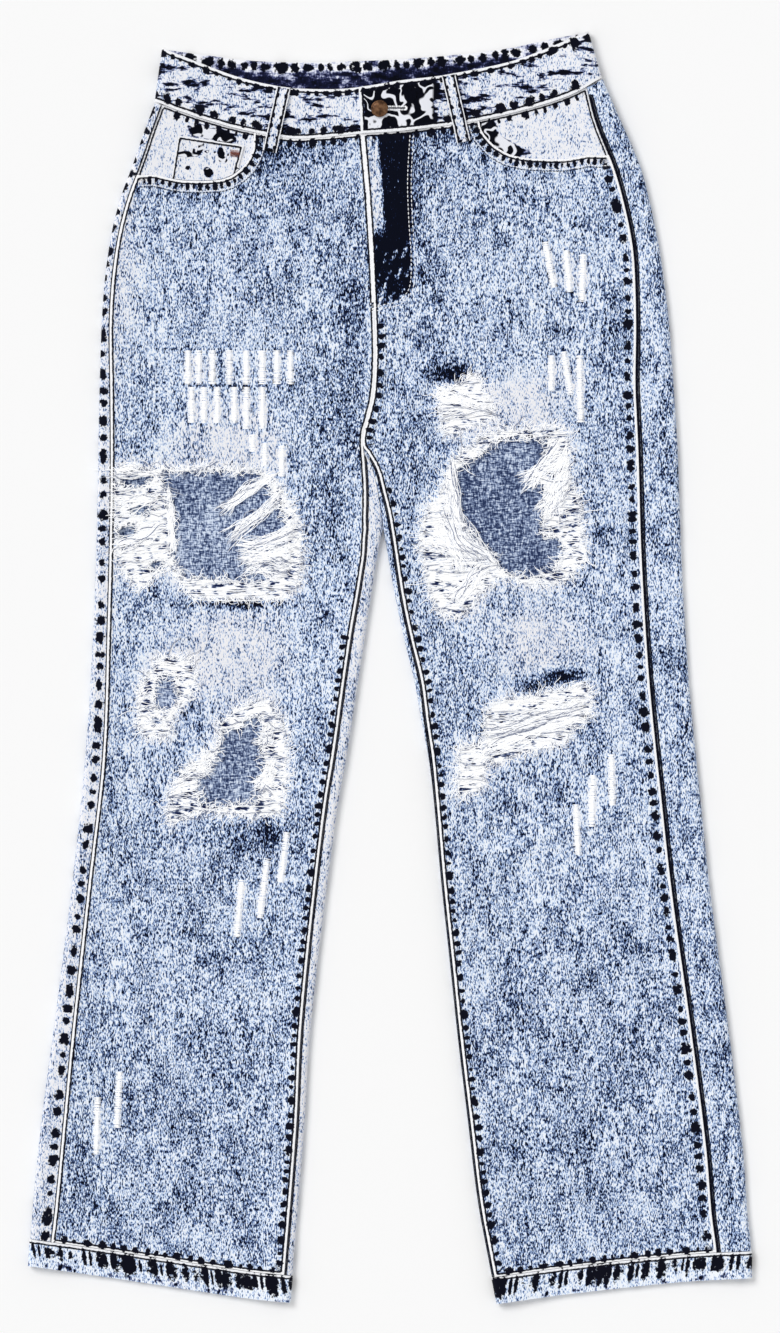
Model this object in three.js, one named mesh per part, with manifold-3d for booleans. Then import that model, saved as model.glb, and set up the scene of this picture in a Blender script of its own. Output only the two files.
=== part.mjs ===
// Ripped straight-leg jeans lying flat, front side up, as laid out on a table.
// Millimetres. +Y runs from the hems to the waist, +Z is up off the table, and z = 0 is the table.
// Right and left are the wearer's, so the right leg is at -X. The garment lies turned a little on its
// own length, so the back of the left leg shows as a strip outside the left outseam.
// Every cloth piece is a wall of even thickness round a mid-surface, 0.3 mm clear of its neighbours.
import * as THREE from "three";
import { mergeVertices } from "three/addons/utils/BufferGeometryUtils.js";
import Module from "manifold-3d";

const wasm = await Module();
wasm.setup();

// ---- driving dimensions ----
const cloth = 1.2; // denim
const layer = 1.5; // one cloth and the gap to the next one
const gap = 0.3; // between pieces at a seam
const hemCloth = 2.4; // hem, folded double
const hemDepth = 22;
const bandCloth = 2.6; // waistband, folded double
const foldRadius = 3.4; // of the cloth where it turns round a side of the leg
const foldRise = 3.8; // how far a fold stands over the middle of the leg
const foldReach = 34; // how far in from the fold that lasts
const apexY = 114; // where the gap between the legs ends
const crotchY = 181; // where the four seams of the crotch meet
const waistY = 460; // a row of this height becomes the waist seam
const flyBottom = 293;
const flyUnderlap = 12;
const loopWidth = 11;
const loopCloth = 1.8;

// The z of the two layers' mid-surfaces in the middle of the garment, for cloth of each thickness.
const clothLevels = { under: cloth / 2, over: 2.2 };
const hemLevels = { under: hemCloth / 2, over: 3.9 };
const bandLevels = { under: bandCloth / 2, over: 4.4 };

// ---- small helpers ----
const mix = (a, b, t) => a + (b - a) * t;
const clamp = (t) => Math.min(1, Math.max(0, t));
const smooth = (t) => clamp(t) ** 2 * (3 - 2 * clamp(t));

// A smooth function through a few [place, value] pairs, in rising order of place.
function through(...pairs) {
  const slope = pairs.map((_, i) => {
    const [a, b] = [pairs[Math.max(i - 1, 0)], pairs[Math.min(i + 1, pairs.length - 1)]];
    return (b[1] - a[1]) / (b[0] - a[0]);
  });
  return (place) => {
    let i = pairs.findIndex((p) => place < p[0]) - 1;
    if (i === -1) return pairs[0][1] + slope[0] * (place - pairs[0][0]);
    if (i === -2) i = pairs.length - 2;
    const [[p0, v0], [p1, v1]] = [pairs[i], pairs[i + 1]];
    const span = p1 - p0;
    const t = (place - p0) / span;
    if (t > 1) return v1 + slope[i + 1] * (place - p1);
    const rise = (3 - 2 * t) * t * t;
    return mix(v0, v1, rise) + span * t * (1 - t) * (slope[i] * (1 - t) - slope[i + 1] * t);
  };
}

// ---- the outline and seams, as x at a given y ----
// inward is the x direction from a leg's outer fold to its inner one. Insets are measured in from a fold.
const legs = {
  right: {
    inward: 1,
    outer: through(
      [-492, -296], [-446, -293], [-375, -286], [-292, -275], [-174, -260], [-77, -250], [-7, -245],
      [82, -241], [223, -238], [302, -235], [351, -229], [384, -221], [414, -210], [440, -201], [464, -192],
    ),
    inner: through(
      [-520, -83], [-436, -76], [-371, -71], [-305, -67], [-239, -60], [-174, -52], [-108, -43],
      [-75, -37], [-10, -27], [56, -17], [89, -12], [apexY, -6.8],
    ),
    outseam: through(
      [-494, 15], [-446, 18], [-375, 18], [-292, 15], [-174, 13], [-78, 14], [39, 11], [168, 10],
      [223, 8.5], [285, 6], [335, 5.5], [400, 6], [440, 6], [465, 6],
    ),
    inseam: through(
      [-494, 6], [-371, 6], [-239, 8], [-75, 10], [23, 11], [89, 10], [apexY, 13], [138, 10.5],
      [160, 6.5], [178, 0.9],
    ),
    hem: through([-296, -490], [-234, -499], [-175, -508], [-114, -517], [-82, -520]),
    hemMiddle: -505,
  },
  left: {
    inward: -1,
    outer: through(
      [-500, 295], [-477, 295], [-446, 292], [-392, 288], [-292, 276], [-187, 262], [-103, 253],
      [-11, 244], [89, 238], [175, 235], [223, 232], [280, 228], [314, 224], [348, 219], [390, 210],
      [411, 204], [428, 197], [455, 185], [483, 173],
    ),
    inner: through(
      [-521, 88], [-485, 81], [-436, 72], [-371, 64], [-305, 56], [-239, 49], [-174, 42], [-108, 36],
      [-75, 32], [-43, 26], [-10, 20], [23, 12], [56, 5], [89, -1], [apexY, -5.2],
    ),
    outseam: through([-500, 27], [-446, 29], [35, 32], [223, 31], [277, 27], [347, 21], [440, 21], [483, 14]),
    inseam: through(
      [-521, 1.5], [-110, 1.5], [-75, 2.2], [-43, 3.5], [-10, 5], [56, 5], [apexY, 6], [144, 4], [165, 3.5], [178, 0.9],
    ),
    hem: through([88, -521], [147, -513], [241, -503], [295, -500]),
    hemMiddle: -509,
  },
};
const crotchSeam = through([apexY, -6], [138, -9], [160, -14], [crotchY, -22]); // on top, below the crotch
const centreFront = through(
  [crotchY, -22.5], [191, -22.5], [204, -19], [223, -14.5], [254, -12.5], [294, -13.5], [330, -15],
  [364, -17], [398, -19.5], [438, -23],
);
const centreBack = through([apexY, -6], [150, -11], [200, -13], [330, -14], [461, -14]); // on the underside

// ---- the waistband's edges, as y at a given x ----
const bandTopFront = through(
  [-186, 507], [-155, 495], [-128, 485], [-105, 479], [-80, 475], [-46, 474], [-23, 476], [8, 481],
  [40, 485], [92, 495], [117, 503], [142, 513], [161, 521],
);
const bandBottomFront = through(
  [-192, 464], [-172, 456], [-147, 448], [-121, 441], [-81, 434], [-55, 435], [-23, 438], [8, 440],
  [62, 447], [92, 453], [126, 462], [151, 471], [172, 483],
);
const bandTopBack = through(
  [-186, 507], [-158, 503], [-105, 497], [-38, 497], [25, 500], [92, 507], [126, 514], [161, 521],
);
const bandBottomBack = through([-192, 464], [-183, 460.5], [-105, 458], [-14, 459], [92, 467], [163, 478], [172, 483]);
const bandEnds = { top: [-186, 161], bottom: [-192, 172] };
const bandOverlapEnd = -24; // the left end, with the buttonhole, lies on the right end
const bandUnderlapEnd = 12;

// ---- heights ----
const backLoops = [-112, -14, 88];
const backLoopTop = 494;
const backLoopBottom = 449;

// The waist rests on the belt loops of the back, so it is lifted off the table.
const loopLift = (y) => (loopCloth + gap) * smooth((y - 395) / 48);

const foldOf = (side, y) => (y <= apexY ? legs[side].inner(y) : crotchSeam(y) - legs[side].inward * apexClear(y));

// Half the gap between the two backs, which is wider at the apex, where both turn upwards.
function apexClear(y) {
  return gap / 2 + 0.65 * (1 - smooth((y - apexY) / 40));
}
// Half the gap at a seam that lies inset from a fold. It is wider on the fold, where the cloth turns.
function seamClear(inset) {
  return gap / 2 + 0.35 * (1 - clamp(inset / 6));
}

// What the folds at a leg's two sides do to a point: how near it is to turning under, and the rise there.
function folds(side, x, y) {
  const leg = legs[side];
  const outer = Math.max(0, (x - leg.outer(y)) * leg.inward);
  const inner = Math.max(0, (foldOf(side, y) - x) * leg.inward);
  const opened = smooth((y - apexY) / 22); // over the apex, the inner fold opens out
  const turn = (d) => Math.sqrt(1 - (1 - clamp(d / foldRadius)) ** 2);
  const crotch = y > apexY ? 1 - smooth((y - apexY) / 110) : 1;
  return {
    turn: turn(outer) * mix(turn(inner), 1, opened),
    rise: foldRise * Math.max(Math.exp(-((outer / foldReach) ** 2)), crotch * Math.exp(-((inner / foldReach) ** 2))),
  };
}

function heights(side, x, y, levels) {
  const { turn, rise } = folds(side, x, y);
  const lift = loopLift(y);
  const under = levels.under + lift;
  const pocketRise = 1.9 * smooth((y - 345) / 50);
  const hemRise = 1.2 * (1 - smooth((y + 485) / 40));
  const over = levels.over + lift + rise + (levels === clothLevels ? pocketRise + hemRise : 0);
  const fold = (under + Math.max(over, levels.over + lift + foldRise)) / 2;
  return { under: mix(fold, under, turn), over: mix(fold, over, turn) };
}

// The left front's fly lies on the right front.
function flyRise(x, y) {
  return 1.7 * smooth((y - flyBottom + 28) / 20) * (1 - smooth((x - centreFront(y) - 15) / 20));
}

// ---- surfaces: points on a grid, made into walls ----
class Surface {
  constructor() {
    this.points = [];
    this.faces = [];
    this.known = new Map();
  }
  add(p) {
    const key = [p.x, p.y, p.z].map((v) => Math.round(v * 1000)).join();
    if (!this.known.has(key)) this.known.set(key, this.points.push(p) - 1);
    return this.known.get(key);
  }
  // rows of points, which go up the garment while each row goes the way that makes its outside face out
  grid(rows) {
    const at = rows.map((row) => row.map((p) => this.add(p)));
    for (let r = 0; r + 1 < at.length; r++) {
      for (let c = 0; c + 1 < at[r].length; c++) {
        this.faces.push([at[r][c], at[r][c + 1], at[r + 1][c + 1]], [at[r][c], at[r + 1][c + 1], at[r + 1][c]]);
      }
    }
    this.faces = this.faces.filter(([a, b, c]) => a !== b && b !== c && a !== c);
    return this;
  }
  // a closed wall round the surface, moved out by offset
  wall(thickness, offset = 0) {
    const normals = this.points.map(() => new THREE.Vector3());
    for (const [a, b, c] of this.faces) {
      const [pa, pb, pc] = [a, b, c].map((i) => this.points[i]);
      const n = new THREE.Vector3().crossVectors(pb.clone().sub(pa), pc.clone().sub(pa));
      for (const i of [a, b, c]) normals[i].add(n);
    }
    const shifted = (by) => this.points.flatMap((p, i) => {
      const q = p.clone().addScaledVector(normals[i].clone().normalize(), by);
      return [q.x, q.y, q.z];
    });
    const count = this.points.length;
    const index = [];
    const edges = new Map();
    for (const [a, b, c] of this.faces) {
      index.push(a, b, c, a + count, c + count, b + count);
      for (const [p, q] of [[a, b], [b, c], [c, a]]) {
        if (!edges.delete(`${q},${p}`)) edges.set(`${p},${q}`, [p, q]);
      }
    }
    for (const [p, q] of edges.values()) index.push(q, p, p + count, q, p + count, q + count);
    const geometry = new THREE.BufferGeometry();
    const places = [...shifted(offset + thickness / 2), ...shifted(offset - thickness / 2)];
    geometry.setAttribute("position", new THREE.Float32BufferAttribute(places, 3));
    geometry.setIndex(index);
    return solid(geometry);
  }
}

// A three.js geometry as a solid that can be cut and joined.
function solid(geometry) {
  geometry.deleteAttribute("normal");
  geometry.deleteAttribute("uv");
  const merged = mergeVertices(geometry, 1e-4);
  return new wasm.Manifold(new wasm.Mesh({
    numProp: 3,
    vertProperties: merged.attributes.position.array,
    triVerts: new Uint32Array(merged.index.array),
  }));
}

// The upright prism over an outline of [x, y] corners.
function prism(corners) {
  const shape = new THREE.Shape(corners.map(([x, y]) => new THREE.Vector2(x, y)));
  const geometry = new THREE.ExtrudeGeometry(shape, { depth: 60, bevelEnabled: false });
  return solid(geometry.translate(0, 0, -20));
}
// The smooth closed outline through [x, y] corners, given clockwise, moved in by inset.
function rounded(corners, inset = 0) {
  const curve = new THREE.CatmullRomCurve3(corners.map(([x, y]) => new THREE.Vector3(x, y, 0)), true);
  const points = curve.getPoints(2 * corners.length).slice(0, -1);
  return points.map((p, i) => {
    const [before, after] = [points.at(i - 1), points[(i + 1) % points.length]];
    const way = after.clone().sub(before).normalize();
    return [p.x + way.y * inset, p.y - way.x * inset];
  });
}

// ---- rows and columns of the leg panels ----
const rowHeights = [
  -480, -425, -360, -285, -210, -135, -75, -25, 30, 75, apexY, 137, 160, 178,
  205, 250, flyBottom, 301, 335, 370, 400, 432, waistY,
];

// A row is straight in the middle of the garment, and bends towards the hem line or the waist seam near them.
function rowY(side, row, x, waist) {
  const leg = legs[side];
  const toHem = 1 - smooth((row + 480) / 290);
  const toWaist = smooth((row - 305) / (waistY - 305));
  const hemShift = leg.hem(x) + hemDepth + 1.5 * gap + 480;
  return row + hemShift * toHem + (waist(x) - waistY) * toWaist;
}

// The point of a column in a row. A column says which layer it is on and gives x at a height.
function place(side, row, column, levels = clothLevels) {
  const waist = column.layer === "over" ? bandBottomFront : bandBottomBack;
  let y = row;
  let x = column.x(y);
  for (let pass = 0; pass < 6; pass++) {
    y = rowY(side, row, x, waist);
    x = column.x(y);
  }
  const rise = column.rise ? column.rise(x, y) : 0;
  return new THREE.Vector3(x, y, heights(side, x, y, levels)[column.layer] + rise);
}

const overStrip = [1, 0.45, 0.12]; // shares of an inset, from the seam towards the fold
const nearFold = [0.08, 0.35, 1]; // shares of the fold's radius

// The back's columns from the outseam, over the outer fold and across the underside.
function underColumns(side) {
  const { outer, outseam, inward } = legs[side];
  const far = (y) => (y <= apexY ? foldOf(side, y) : centreBack(y) - inward * apexClear(y));
  const start = (y) => outer(y) + inward * foldRadius;
  const stop = (y) => far(y) - inward * foldRadius;
  return [
    ...overStrip.map((s) => ({
      layer: "over",
      x: (y) => outer(y) + inward * (outseam(y) - seamClear(outseam(y))) * s,
    })),
    { layer: "over", x: outer },
    ...nearFold.map((s) => ({ layer: "under", x: (y) => outer(y) + inward * foldRadius * s })),
    ...[0.2, 0.4, 0.6, 0.8].map((s) => ({ layer: "under", x: (y) => mix(start(y), stop(y), s) })),
    ...[1, 0.35, 0.08, 0].map((s) => ({ layer: "under", x: (y) => far(y) - inward * foldRadius * s })),
  ];
}

// The strip of the back that comes up round the inner fold to the inseam.
function tongueColumns(side) {
  const { inseam, inward } = legs[side];
  const width = (y) => inseam(y) - seamClear(inseam(y));
  return [0, ...overStrip.toReversed()].map((s) => ({
    layer: "over",
    x: (y) => foldOf(side, y) - inward * width(y) * s,
  }));
}

// The back of one leg and half the seat, as one surface, slit up from the apex of the gap between the legs.
function backSurface(side) {
  const under = underColumns(side);
  const tongue = tongueColumns(side);
  const turned = (rows) => (side === "right" ? rows.map((row) => row.toReversed()) : rows);
  const rows = (columns, from, to) =>
    turned(rowHeights.filter((y) => y >= from && y <= to).map((row) => columns.map((c) => place(side, row, c))));
  return new Surface()
    .grid(rows([...under, ...tongue.slice(1)], -480, apexY))
    .grid(rows(under, apexY, waistY))
    .grid(rows(tongue, apexY, 178));
}

const frontShares = [0, 0.025, 0.08, 0.2, 0.4, 0.6, 0.8, 0.92, 0.975, 1];

// Where the front ends on its inner side: at the inseam, and over the crotch at the centre front.
function frontInner(side, y) {
  const { inseam, inward } = legs[side];
  const inset = inseam(Math.min(y, 178));
  const atInseam = foldOf(side, Math.min(y, 178)) - inward * (inset + seamClear(inset));
  const underlap = side === "right" ? (flyUnderlap + gap / 2) * smooth((y - flyBottom) / 8) : 0;
  const atCentre = centreFront(Math.max(y, crotchY)) - (inward * gap) / 2 + underlap;
  return mix(atInseam, atCentre, clamp((y - 178) / (crotchY - 178)));
}

function frontSurface(side) {
  const { outer, outseam, inward } = legs[side];
  const start = (y) => outer(y) + inward * (outseam(y) + seamClear(outseam(y)));
  const columns = frontShares.map((s) => ({
    layer: "over",
    x: (y) => mix(start(y), frontInner(side, y), s),
    rise: side === "left" ? flyRise : null,
  }));
  const rows = rowHeights.map((row) => columns.map((c) => place(side, row, c)));
  return new Surface().grid(side === "right" ? rows : rows.map((row) => row.toReversed()));
}

// ---- outlines cut through the fronts ----
const pocketMouth = {
  right: [[-112, 460], [-112, 437], [-113, 424], [-119, 413], [-129, 404], [-140, 400], [-157, 399], [-175, 400], [-192, 404], [-206, 408]],
  left: [[73, 470], [73, 446], [76, 438], [85, 428], [97, 421], [110, 418], [126, 417], [143, 417], [160, 420], [178, 424]],
};
// The mouth's line closed round the corner of the front that it cuts away, moved by shift.
function pocketOutline(side, shift) {
  const { inward } = legs[side];
  const line = pocketMouth[side].map(([x, y]) => [x + inward * shift, y - shift]);
  const far = line.at(-1);
  return [...line, [far[0] - inward * 60, far[1] + 10], [far[0] - inward * 60, 540], [line[0][0], 540]];
}
const coinPocket = [[-176, 452], [-174, 436], [-180, 399], [-128, 399], [-119, 424], [-121, 446]];

// Each rip: the outline where the front is torn, and the webs of loose threads left in it.
const rips = {
  right_thigh: {
    side: "right",
    torn: [
      [-224, 164], [-190, 163], [-150, 164], [-106, 160], [-82, 135], [-74, 118], [-73, 78], [-83, 59],
      [-122, 57], [-161, 58], [-184, 84], [-204, 66], [-221, 84], [-225, 120],
    ],
    webs: {
      outer: [[-224, 162], [-190, 161], [-187, 120], [-184, 86], [-204, 67], [-220, 84], [-224, 120]],
      inner: [[-108, 158], [-83, 134], [-75, 117], [-74, 79], [-84, 61], [-116, 66], [-128, 90], [-106, 114], [-134, 124]],
    },
  },
  right_knee_small: {
    side: "right",
    torn: [[-191, 8], [-164, 7], [-160, -7], [-164, -24], [-176, -36], [-182, -56], [-199, -57], [-206, -48], [-206, -15], [-196, -2]],
    webs: { lower: [[-198, -33], [-178, -34], [-183, -55], [-199, -56], [-205, -47], [-205, -33]] },
  },
  right_knee: {
    side: "right",
    torn: [
      [-142, -47], [-119, -30], [-100, -28], [-88, -46], [-85, -70], [-86, -94], [-90, -117], [-110, -121],
      [-157, -118], [-178, -127], [-183, -112], [-171, -86], [-156, -74], [-141, -61],
    ],
    webs: {
      inner: [[-102, -31], [-89, -47], [-86, -70], [-87, -94], [-91, -116], [-108, -110], [-100, -84], [-104, -54]],
      outer: [[-158, -76], [-170, -87], [-182, -112], [-178, -126], [-158, -117]],
    },
  },
  left_hip: {
    side: "left",
    torn: [[38, 226], [56, 233], [70, 241], [80, 222], [85, 205], [65, 197], [46, 191], [40, 214]],
    webs: { whole: [[39, 226], [56, 232], [70, 240], [79, 222], [84, 205.5], [65, 198], [47, 192], [41, 214]] },
  },
  left_thigh: {
    side: "left",
    torn: [
      [52, 169], [78, 192], [104, 195], [137, 196], [145, 185], [147, 155], [156, 136], [158, 105], [160, 91],
      [142, 72], [118, 68], [89, 73], [59, 44], [39, 47], [29, 77], [24, 104], [29, 128], [40, 144],
    ],
    webs: {
      inner: [[51, 166], [54, 140], [58, 117], [82, 97], [88, 75], [59, 45], [40, 48], [30, 77], [25, 104], [30, 127], [41, 144]],
      outer: [[136, 195], [144, 185], [146, 155], [155, 136], [157, 105], [159, 91], [143, 74], [142, 100], [126, 112], [122, 140], [128, 170]],
    },
  },
  left_knee: {
    side: "left",
    torn: [[80, -33], [110, -23], [155, -14], [162, -16], [164, -38], [149, -51], [143, -61], [110, -70], [81, -77]],
    webs: { whole: [[81, -34], [110, -24], [155, -15], [161, -17], [163, -38], [148, -50.4], [142.5, -60], [110, -69], [82, -76]] },
  },
  left_knee_small: {
    side: "left",
    torn: [[56, -70], [60, -64], [74, -63], [77, -72], [77, -97], [58, -105], [55, -98]],
    webs: { whole: [[57, -70], [60.5, -65], [73.5, -64], [76, -72], [76, -96], [58.5, -104], [56, -98]] },
  },
};

// The prism that trims the fronts or the yokes to the waistband's lower edge.
function aboveWaist(edge) {
  const xs = Array.from({ length: 37 }, (_, i) => -200 + 11 * i);
  return prism([...xs.map((x) => [x, edge(x) - gap]), [196, 580], [-200, 580]]);
}

// The yoke seam runs from below the band at the sides down to the centre back, as y at a given x.
const yokeSeam = through([-230, 441], [-201, 438], [-110, 412], [-14, 392], [85, 420], [178, 455], [200, 462]);
function aboveYoke(shift) {
  const xs = [-240, -200, -155, -110, -62, -14, 35, 85, 130, 178, 215];
  return prism([...xs.map((x) => [x, yokeSeam(x) + shift]), [215, 560], [-240, 560]]);
}

// ---- the waistband: one strip round the body, its left end lying on its right end ----
function bandPoint(layer, share, across, rise) {
  const ends = (pair) => mix(pair[0], pair[1], share);
  const [top, bottom] = layer === "over" ? [bandTopFront, bandBottomFront] : [bandTopBack, bandBottomBack];
  const [xTop, xBottom] = [ends(bandEnds.top), ends(bandEnds.bottom)];
  const [x, y] = [mix(xBottom, xTop, across), mix(bottom(xBottom), top(xTop), across)];
  const width = mix(bandEnds.bottom[1] - bandEnds.bottom[0], bandEnds.top[1] - bandEnds.top[0], across);
  const inset = Math.min(share, 1 - share) * width;
  const turn = Math.sqrt(1 - (1 - clamp(inset / foldRadius)) ** 2);
  const lift = loopLift(y);
  const over = bandLevels.over + lift + foldRise * Math.exp(-((inset / foldReach) ** 2));
  const under = bandLevels.under + lift;
  const fold = (bandLevels.under + bandLevels.over + foldRise) / 2 + lift;
  return new THREE.Vector3(x, y, mix(fold, layer === "over" ? over : under, turn) + rise(x));
}
const bandShare = (x) => (x - bandEnds.bottom[0]) / (bandEnds.bottom[1] - bandEnds.bottom[0]);
const overlapRise = (x) => 2.95 * (1 - smooth((x - 22) / 24));

function waistbandSurface() {
  const turning = [0.001, 0.0035, 0.0095];
  const half = (from, to, count) => Array.from({ length: count + 1 }, (_, i) => mix(from, to, i / count));
  const stations = [
    ...half(bandShare(bandUnderlapEnd), turning.at(-1), 11).map((s) => ["over", s, () => 0]),
    ...turning.slice(0, 2).reverse().map((s) => ["over", s, () => 0]),
    ["over", 0, () => 0],
    ...[...turning, ...half(0.03, 0.97, 19), ...turning.toReversed().map((s) => 1 - s)].map((s) => ["under", s, () => 0]),
    ["over", 1, overlapRise],
    ...turning.slice(0, 2).map((s) => ["over", 1 - s, overlapRise]),
    ...half(1 - turning.at(-1), bandShare(bandOverlapEnd), 13).map((s) => ["over", s, overlapRise]),
  ];
  const rows = [0, 0.5, 1].map((across) =>
    stations.map(([layerName, share, rise]) => bandPoint(layerName, share, across, rise)).reverse());
  return new Surface().grid(rows);
}

// ---- hems: a closed ring round each leg opening ----
function hemSurface(side) {
  const { outer, inner, inward, hem } = legs[side];
  const shares = [0.1, 0.25, 0.42, 0.58, 0.75, 0.9];
  const start = (y) => outer(y) + inward * foldRadius;
  const stop = (y) => inner(y) - inward * foldRadius;
  const half = (layerName) => [
    ...nearFold.map((s) => ({ layer: layerName, x: (y) => outer(y) + inward * foldRadius * s })),
    ...shares.map((s) => ({ layer: layerName, x: (y) => mix(start(y), stop(y), s) })),
    ...nearFold.toReversed().map((s) => ({ layer: layerName, x: (y) => inner(y) - inward * foldRadius * s })),
  ];
  const fold = (x) => ({ layer: "over", x });
  const ring = [fold(outer), ...half("over"), fold(inner), ...half("under").reverse(), fold(outer)];
  const rows = [0, 0.5, 1].map((up) => ring.map((column) => {
    let y = legs[side].hemMiddle;
    for (let pass = 0; pass < 6; pass++) y = hem(column.x(y)) + up * hemDepth;
    const x = column.x(y);
    return new THREE.Vector3(x, y, heights(side, x, y, hemLevels)[column.layer]);
  }));
  return new Surface().grid(side === "right" ? rows : rows.map((row) => row.toReversed()));
}

// ---- belt loops: flat straps over the band, sewn down at the band's top edge and below the band ----
function strap(points) {
  const half = loopWidth / 2;
  const along = points.at(-1).clone().sub(points[0]).setZ(0).normalize();
  const side = new THREE.Vector3(along.y, -along.x, 0);
  return new Surface().grid(points.map((p) => [
    p.clone().addScaledVector(side, -half), p.clone(), p.clone().addScaledVector(side, half),
  ])).wall(loopCloth);
}
function frontLoop([xBottom, yBottom], [xTop, yTop], side) {
  const standoff = 2 * gap + loopCloth / 2;
  return strap([0, 0.12, 0.26, 0.34, 0.5, 0.75, 0.92, 1].map((t) => {
    const [x, y] = [mix(xBottom, xTop, t), mix(yBottom, yTop, t)];
    const panel = heights(side, x, y, clothLevels).over + cloth / 2;
    const onBand = bandLevels.over + foldRise * Math.exp(-(((Math.abs(x) - 170) / foldReach) ** 2)) + bandCloth / 2;
    const rise = side === "left" ? overlapRise(x) : 0;
    const z = mix(panel, onBand + loopLift(y) + rise, smooth((t - 0.1) / 0.16));
    return new THREE.Vector3(x, y, z + standoff + 1.2 * Math.sin(Math.PI * clamp((t - 0.26) / 0.74)));
  }));
}
function backLoop(x) {
  const z = loopCloth / 2;
  return strap([0, 0.5, 1].map((t) => new THREE.Vector3(x, mix(backLoopBottom, backLoopTop, t), z)));
}

// ---- the button: a domed cap on a collar ----
const buttonAt = [-9, 458];
const buttonRadius = 7;
function button() {
  const profile = [[0, 0], [4, 0], [4, 0.9], [buttonRadius - 0.6, 0.9], [buttonRadius, 1.5], [6.4, 2.3], [4.6, 2.9], [2.4, 3.2], [0, 3.3]];
  const geometry = new THREE.LatheGeometry(profile.map((p) => new THREE.Vector2(...p)), 28).rotateX(Math.PI / 2);
  return solid(geometry);
}

// ---- the pieces ----
const denim = { color: "#8fa9d6", roughness: 0.9, metalness: 0 };
const inside = { color: "#6f7fa6", roughness: 0.95, metalness: 0 };
const pale = { color: "#dfe3ee", roughness: 0.9, metalness: 0 };
const threads = { color: "#f2efe6", roughness: 0.95, metalness: 0 };
const brass = { color: "#8a6f55", roughness: 0.4, metalness: 0.9 };

const jeans = new THREE.Group();
function addPiece(name, shape, finish) {
  const { vertProperties, triVerts, numProp } = shape.getMesh();
  const geometry = new THREE.BufferGeometry();
  const places = new Float32Array((vertProperties.length / numProp) * 3);
  for (let i = 0; i < places.length / 3; i++) places.set(vertProperties.subarray(i * numProp, i * numProp + 3), i * 3);
  geometry.setAttribute("position", new THREE.BufferAttribute(places, 3));
  geometry.setIndex(new THREE.BufferAttribute(triVerts, 1));
  geometry.computeVertexNormals();
  const mesh = new THREE.Mesh(geometry, new THREE.MeshStandardMaterial(finish));
  mesh.name = name;
  jeans.add(mesh);
  return mesh;
}

for (const side of ["right", "left"]) {
  const surface = frontSurface(side);
  const sheet = surface.wall(cloth);
  const waist = aboveWaist(bandBottomFront);
  let front = sheet.subtract(prism(pocketOutline(side, 0))).subtract(waist);
  for (const [rip, { side: on, torn, webs }] of Object.entries(rips)) {
    if (on !== side) continue;
    front = front.subtract(prism(rounded(torn)));
    for (const [part, outline] of Object.entries(webs)) {
      const web = sheet.intersect(prism(outline)).intersect(prism(rounded(torn, 1.5 * gap)));
      addPiece(`threads_${rip}_${part}`, web, threads);
    }
  }
  addPiece(`front_${side}`, front, denim);

  const inCorner = prism(pocketOutline(side, 14));
  addPiece(`pocket_facing_${side}`, surface.wall(cloth, -layer).intersect(inCorner).subtract(waist), pale);
  if (side === "right") {
    const behindMouth = prism(pocketOutline(side, -1.5 * gap));
    addPiece("coin_pocket", sheet.intersect(prism(coinPocket)).intersect(behindMouth).subtract(waist), pale);
  }

  const back = backSurface(side).wall(cloth).subtract(aboveWaist((x) => bandBottomBack(x) - gap));
  addPiece(`yoke_${side}`, back.intersect(aboveYoke(gap / 2)), denim);
  addPiece(`back_${side}`, back.subtract(aboveYoke(-gap / 2)), inside);
  addPiece(`hem_${side}`, hemSurface(side).wall(hemCloth), denim);
}

addPiece("waistband", waistbandSurface().wall(bandCloth), pale);
addPiece("belt_loop_front_right", frontLoop([-99, 423], [-87.5, 475], "right"), pale);
addPiece("belt_loop_front_left", frontLoop([60, 431], [47.5, 485], "left"), pale);
addPiece("belt_loop_back_right", backLoop(backLoops[0]), pale);
addPiece("belt_loop_back_centre", backLoop(backLoops[1]), pale);
addPiece("belt_loop_back_left", backLoop(backLoops[2]), pale);
const bandTopZ = bandLevels.over + bandCloth / 2 + overlapRise(buttonAt[0]) + loopLift(buttonAt[1]);
addPiece("button", button(), brass).position.set(...buttonAt, bandTopZ + gap);

export default jeans;
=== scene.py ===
# Ripped jeans laid flat, front side up: the looks of every piece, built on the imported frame.
# Shapes are worked out in millimetres and turned into metres when a mesh is made.
import math
import bpy
import bmesh
import numpy as np
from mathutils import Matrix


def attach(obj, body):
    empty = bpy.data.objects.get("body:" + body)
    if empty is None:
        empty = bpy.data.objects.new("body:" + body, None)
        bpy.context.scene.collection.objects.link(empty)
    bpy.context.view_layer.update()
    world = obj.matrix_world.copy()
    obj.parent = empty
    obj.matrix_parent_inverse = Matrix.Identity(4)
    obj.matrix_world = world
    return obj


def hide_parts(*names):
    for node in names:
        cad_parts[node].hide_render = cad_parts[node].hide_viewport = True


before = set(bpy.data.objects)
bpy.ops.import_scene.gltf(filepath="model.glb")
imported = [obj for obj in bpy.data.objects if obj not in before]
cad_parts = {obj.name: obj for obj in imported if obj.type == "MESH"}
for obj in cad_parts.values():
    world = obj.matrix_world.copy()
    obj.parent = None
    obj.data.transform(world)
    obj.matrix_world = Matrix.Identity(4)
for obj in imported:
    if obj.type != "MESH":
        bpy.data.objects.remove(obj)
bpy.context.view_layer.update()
bpy.ops.object.select_all(action="DESELECT")
rng = np.random.default_rng(11)
mm = 0.001

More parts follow.
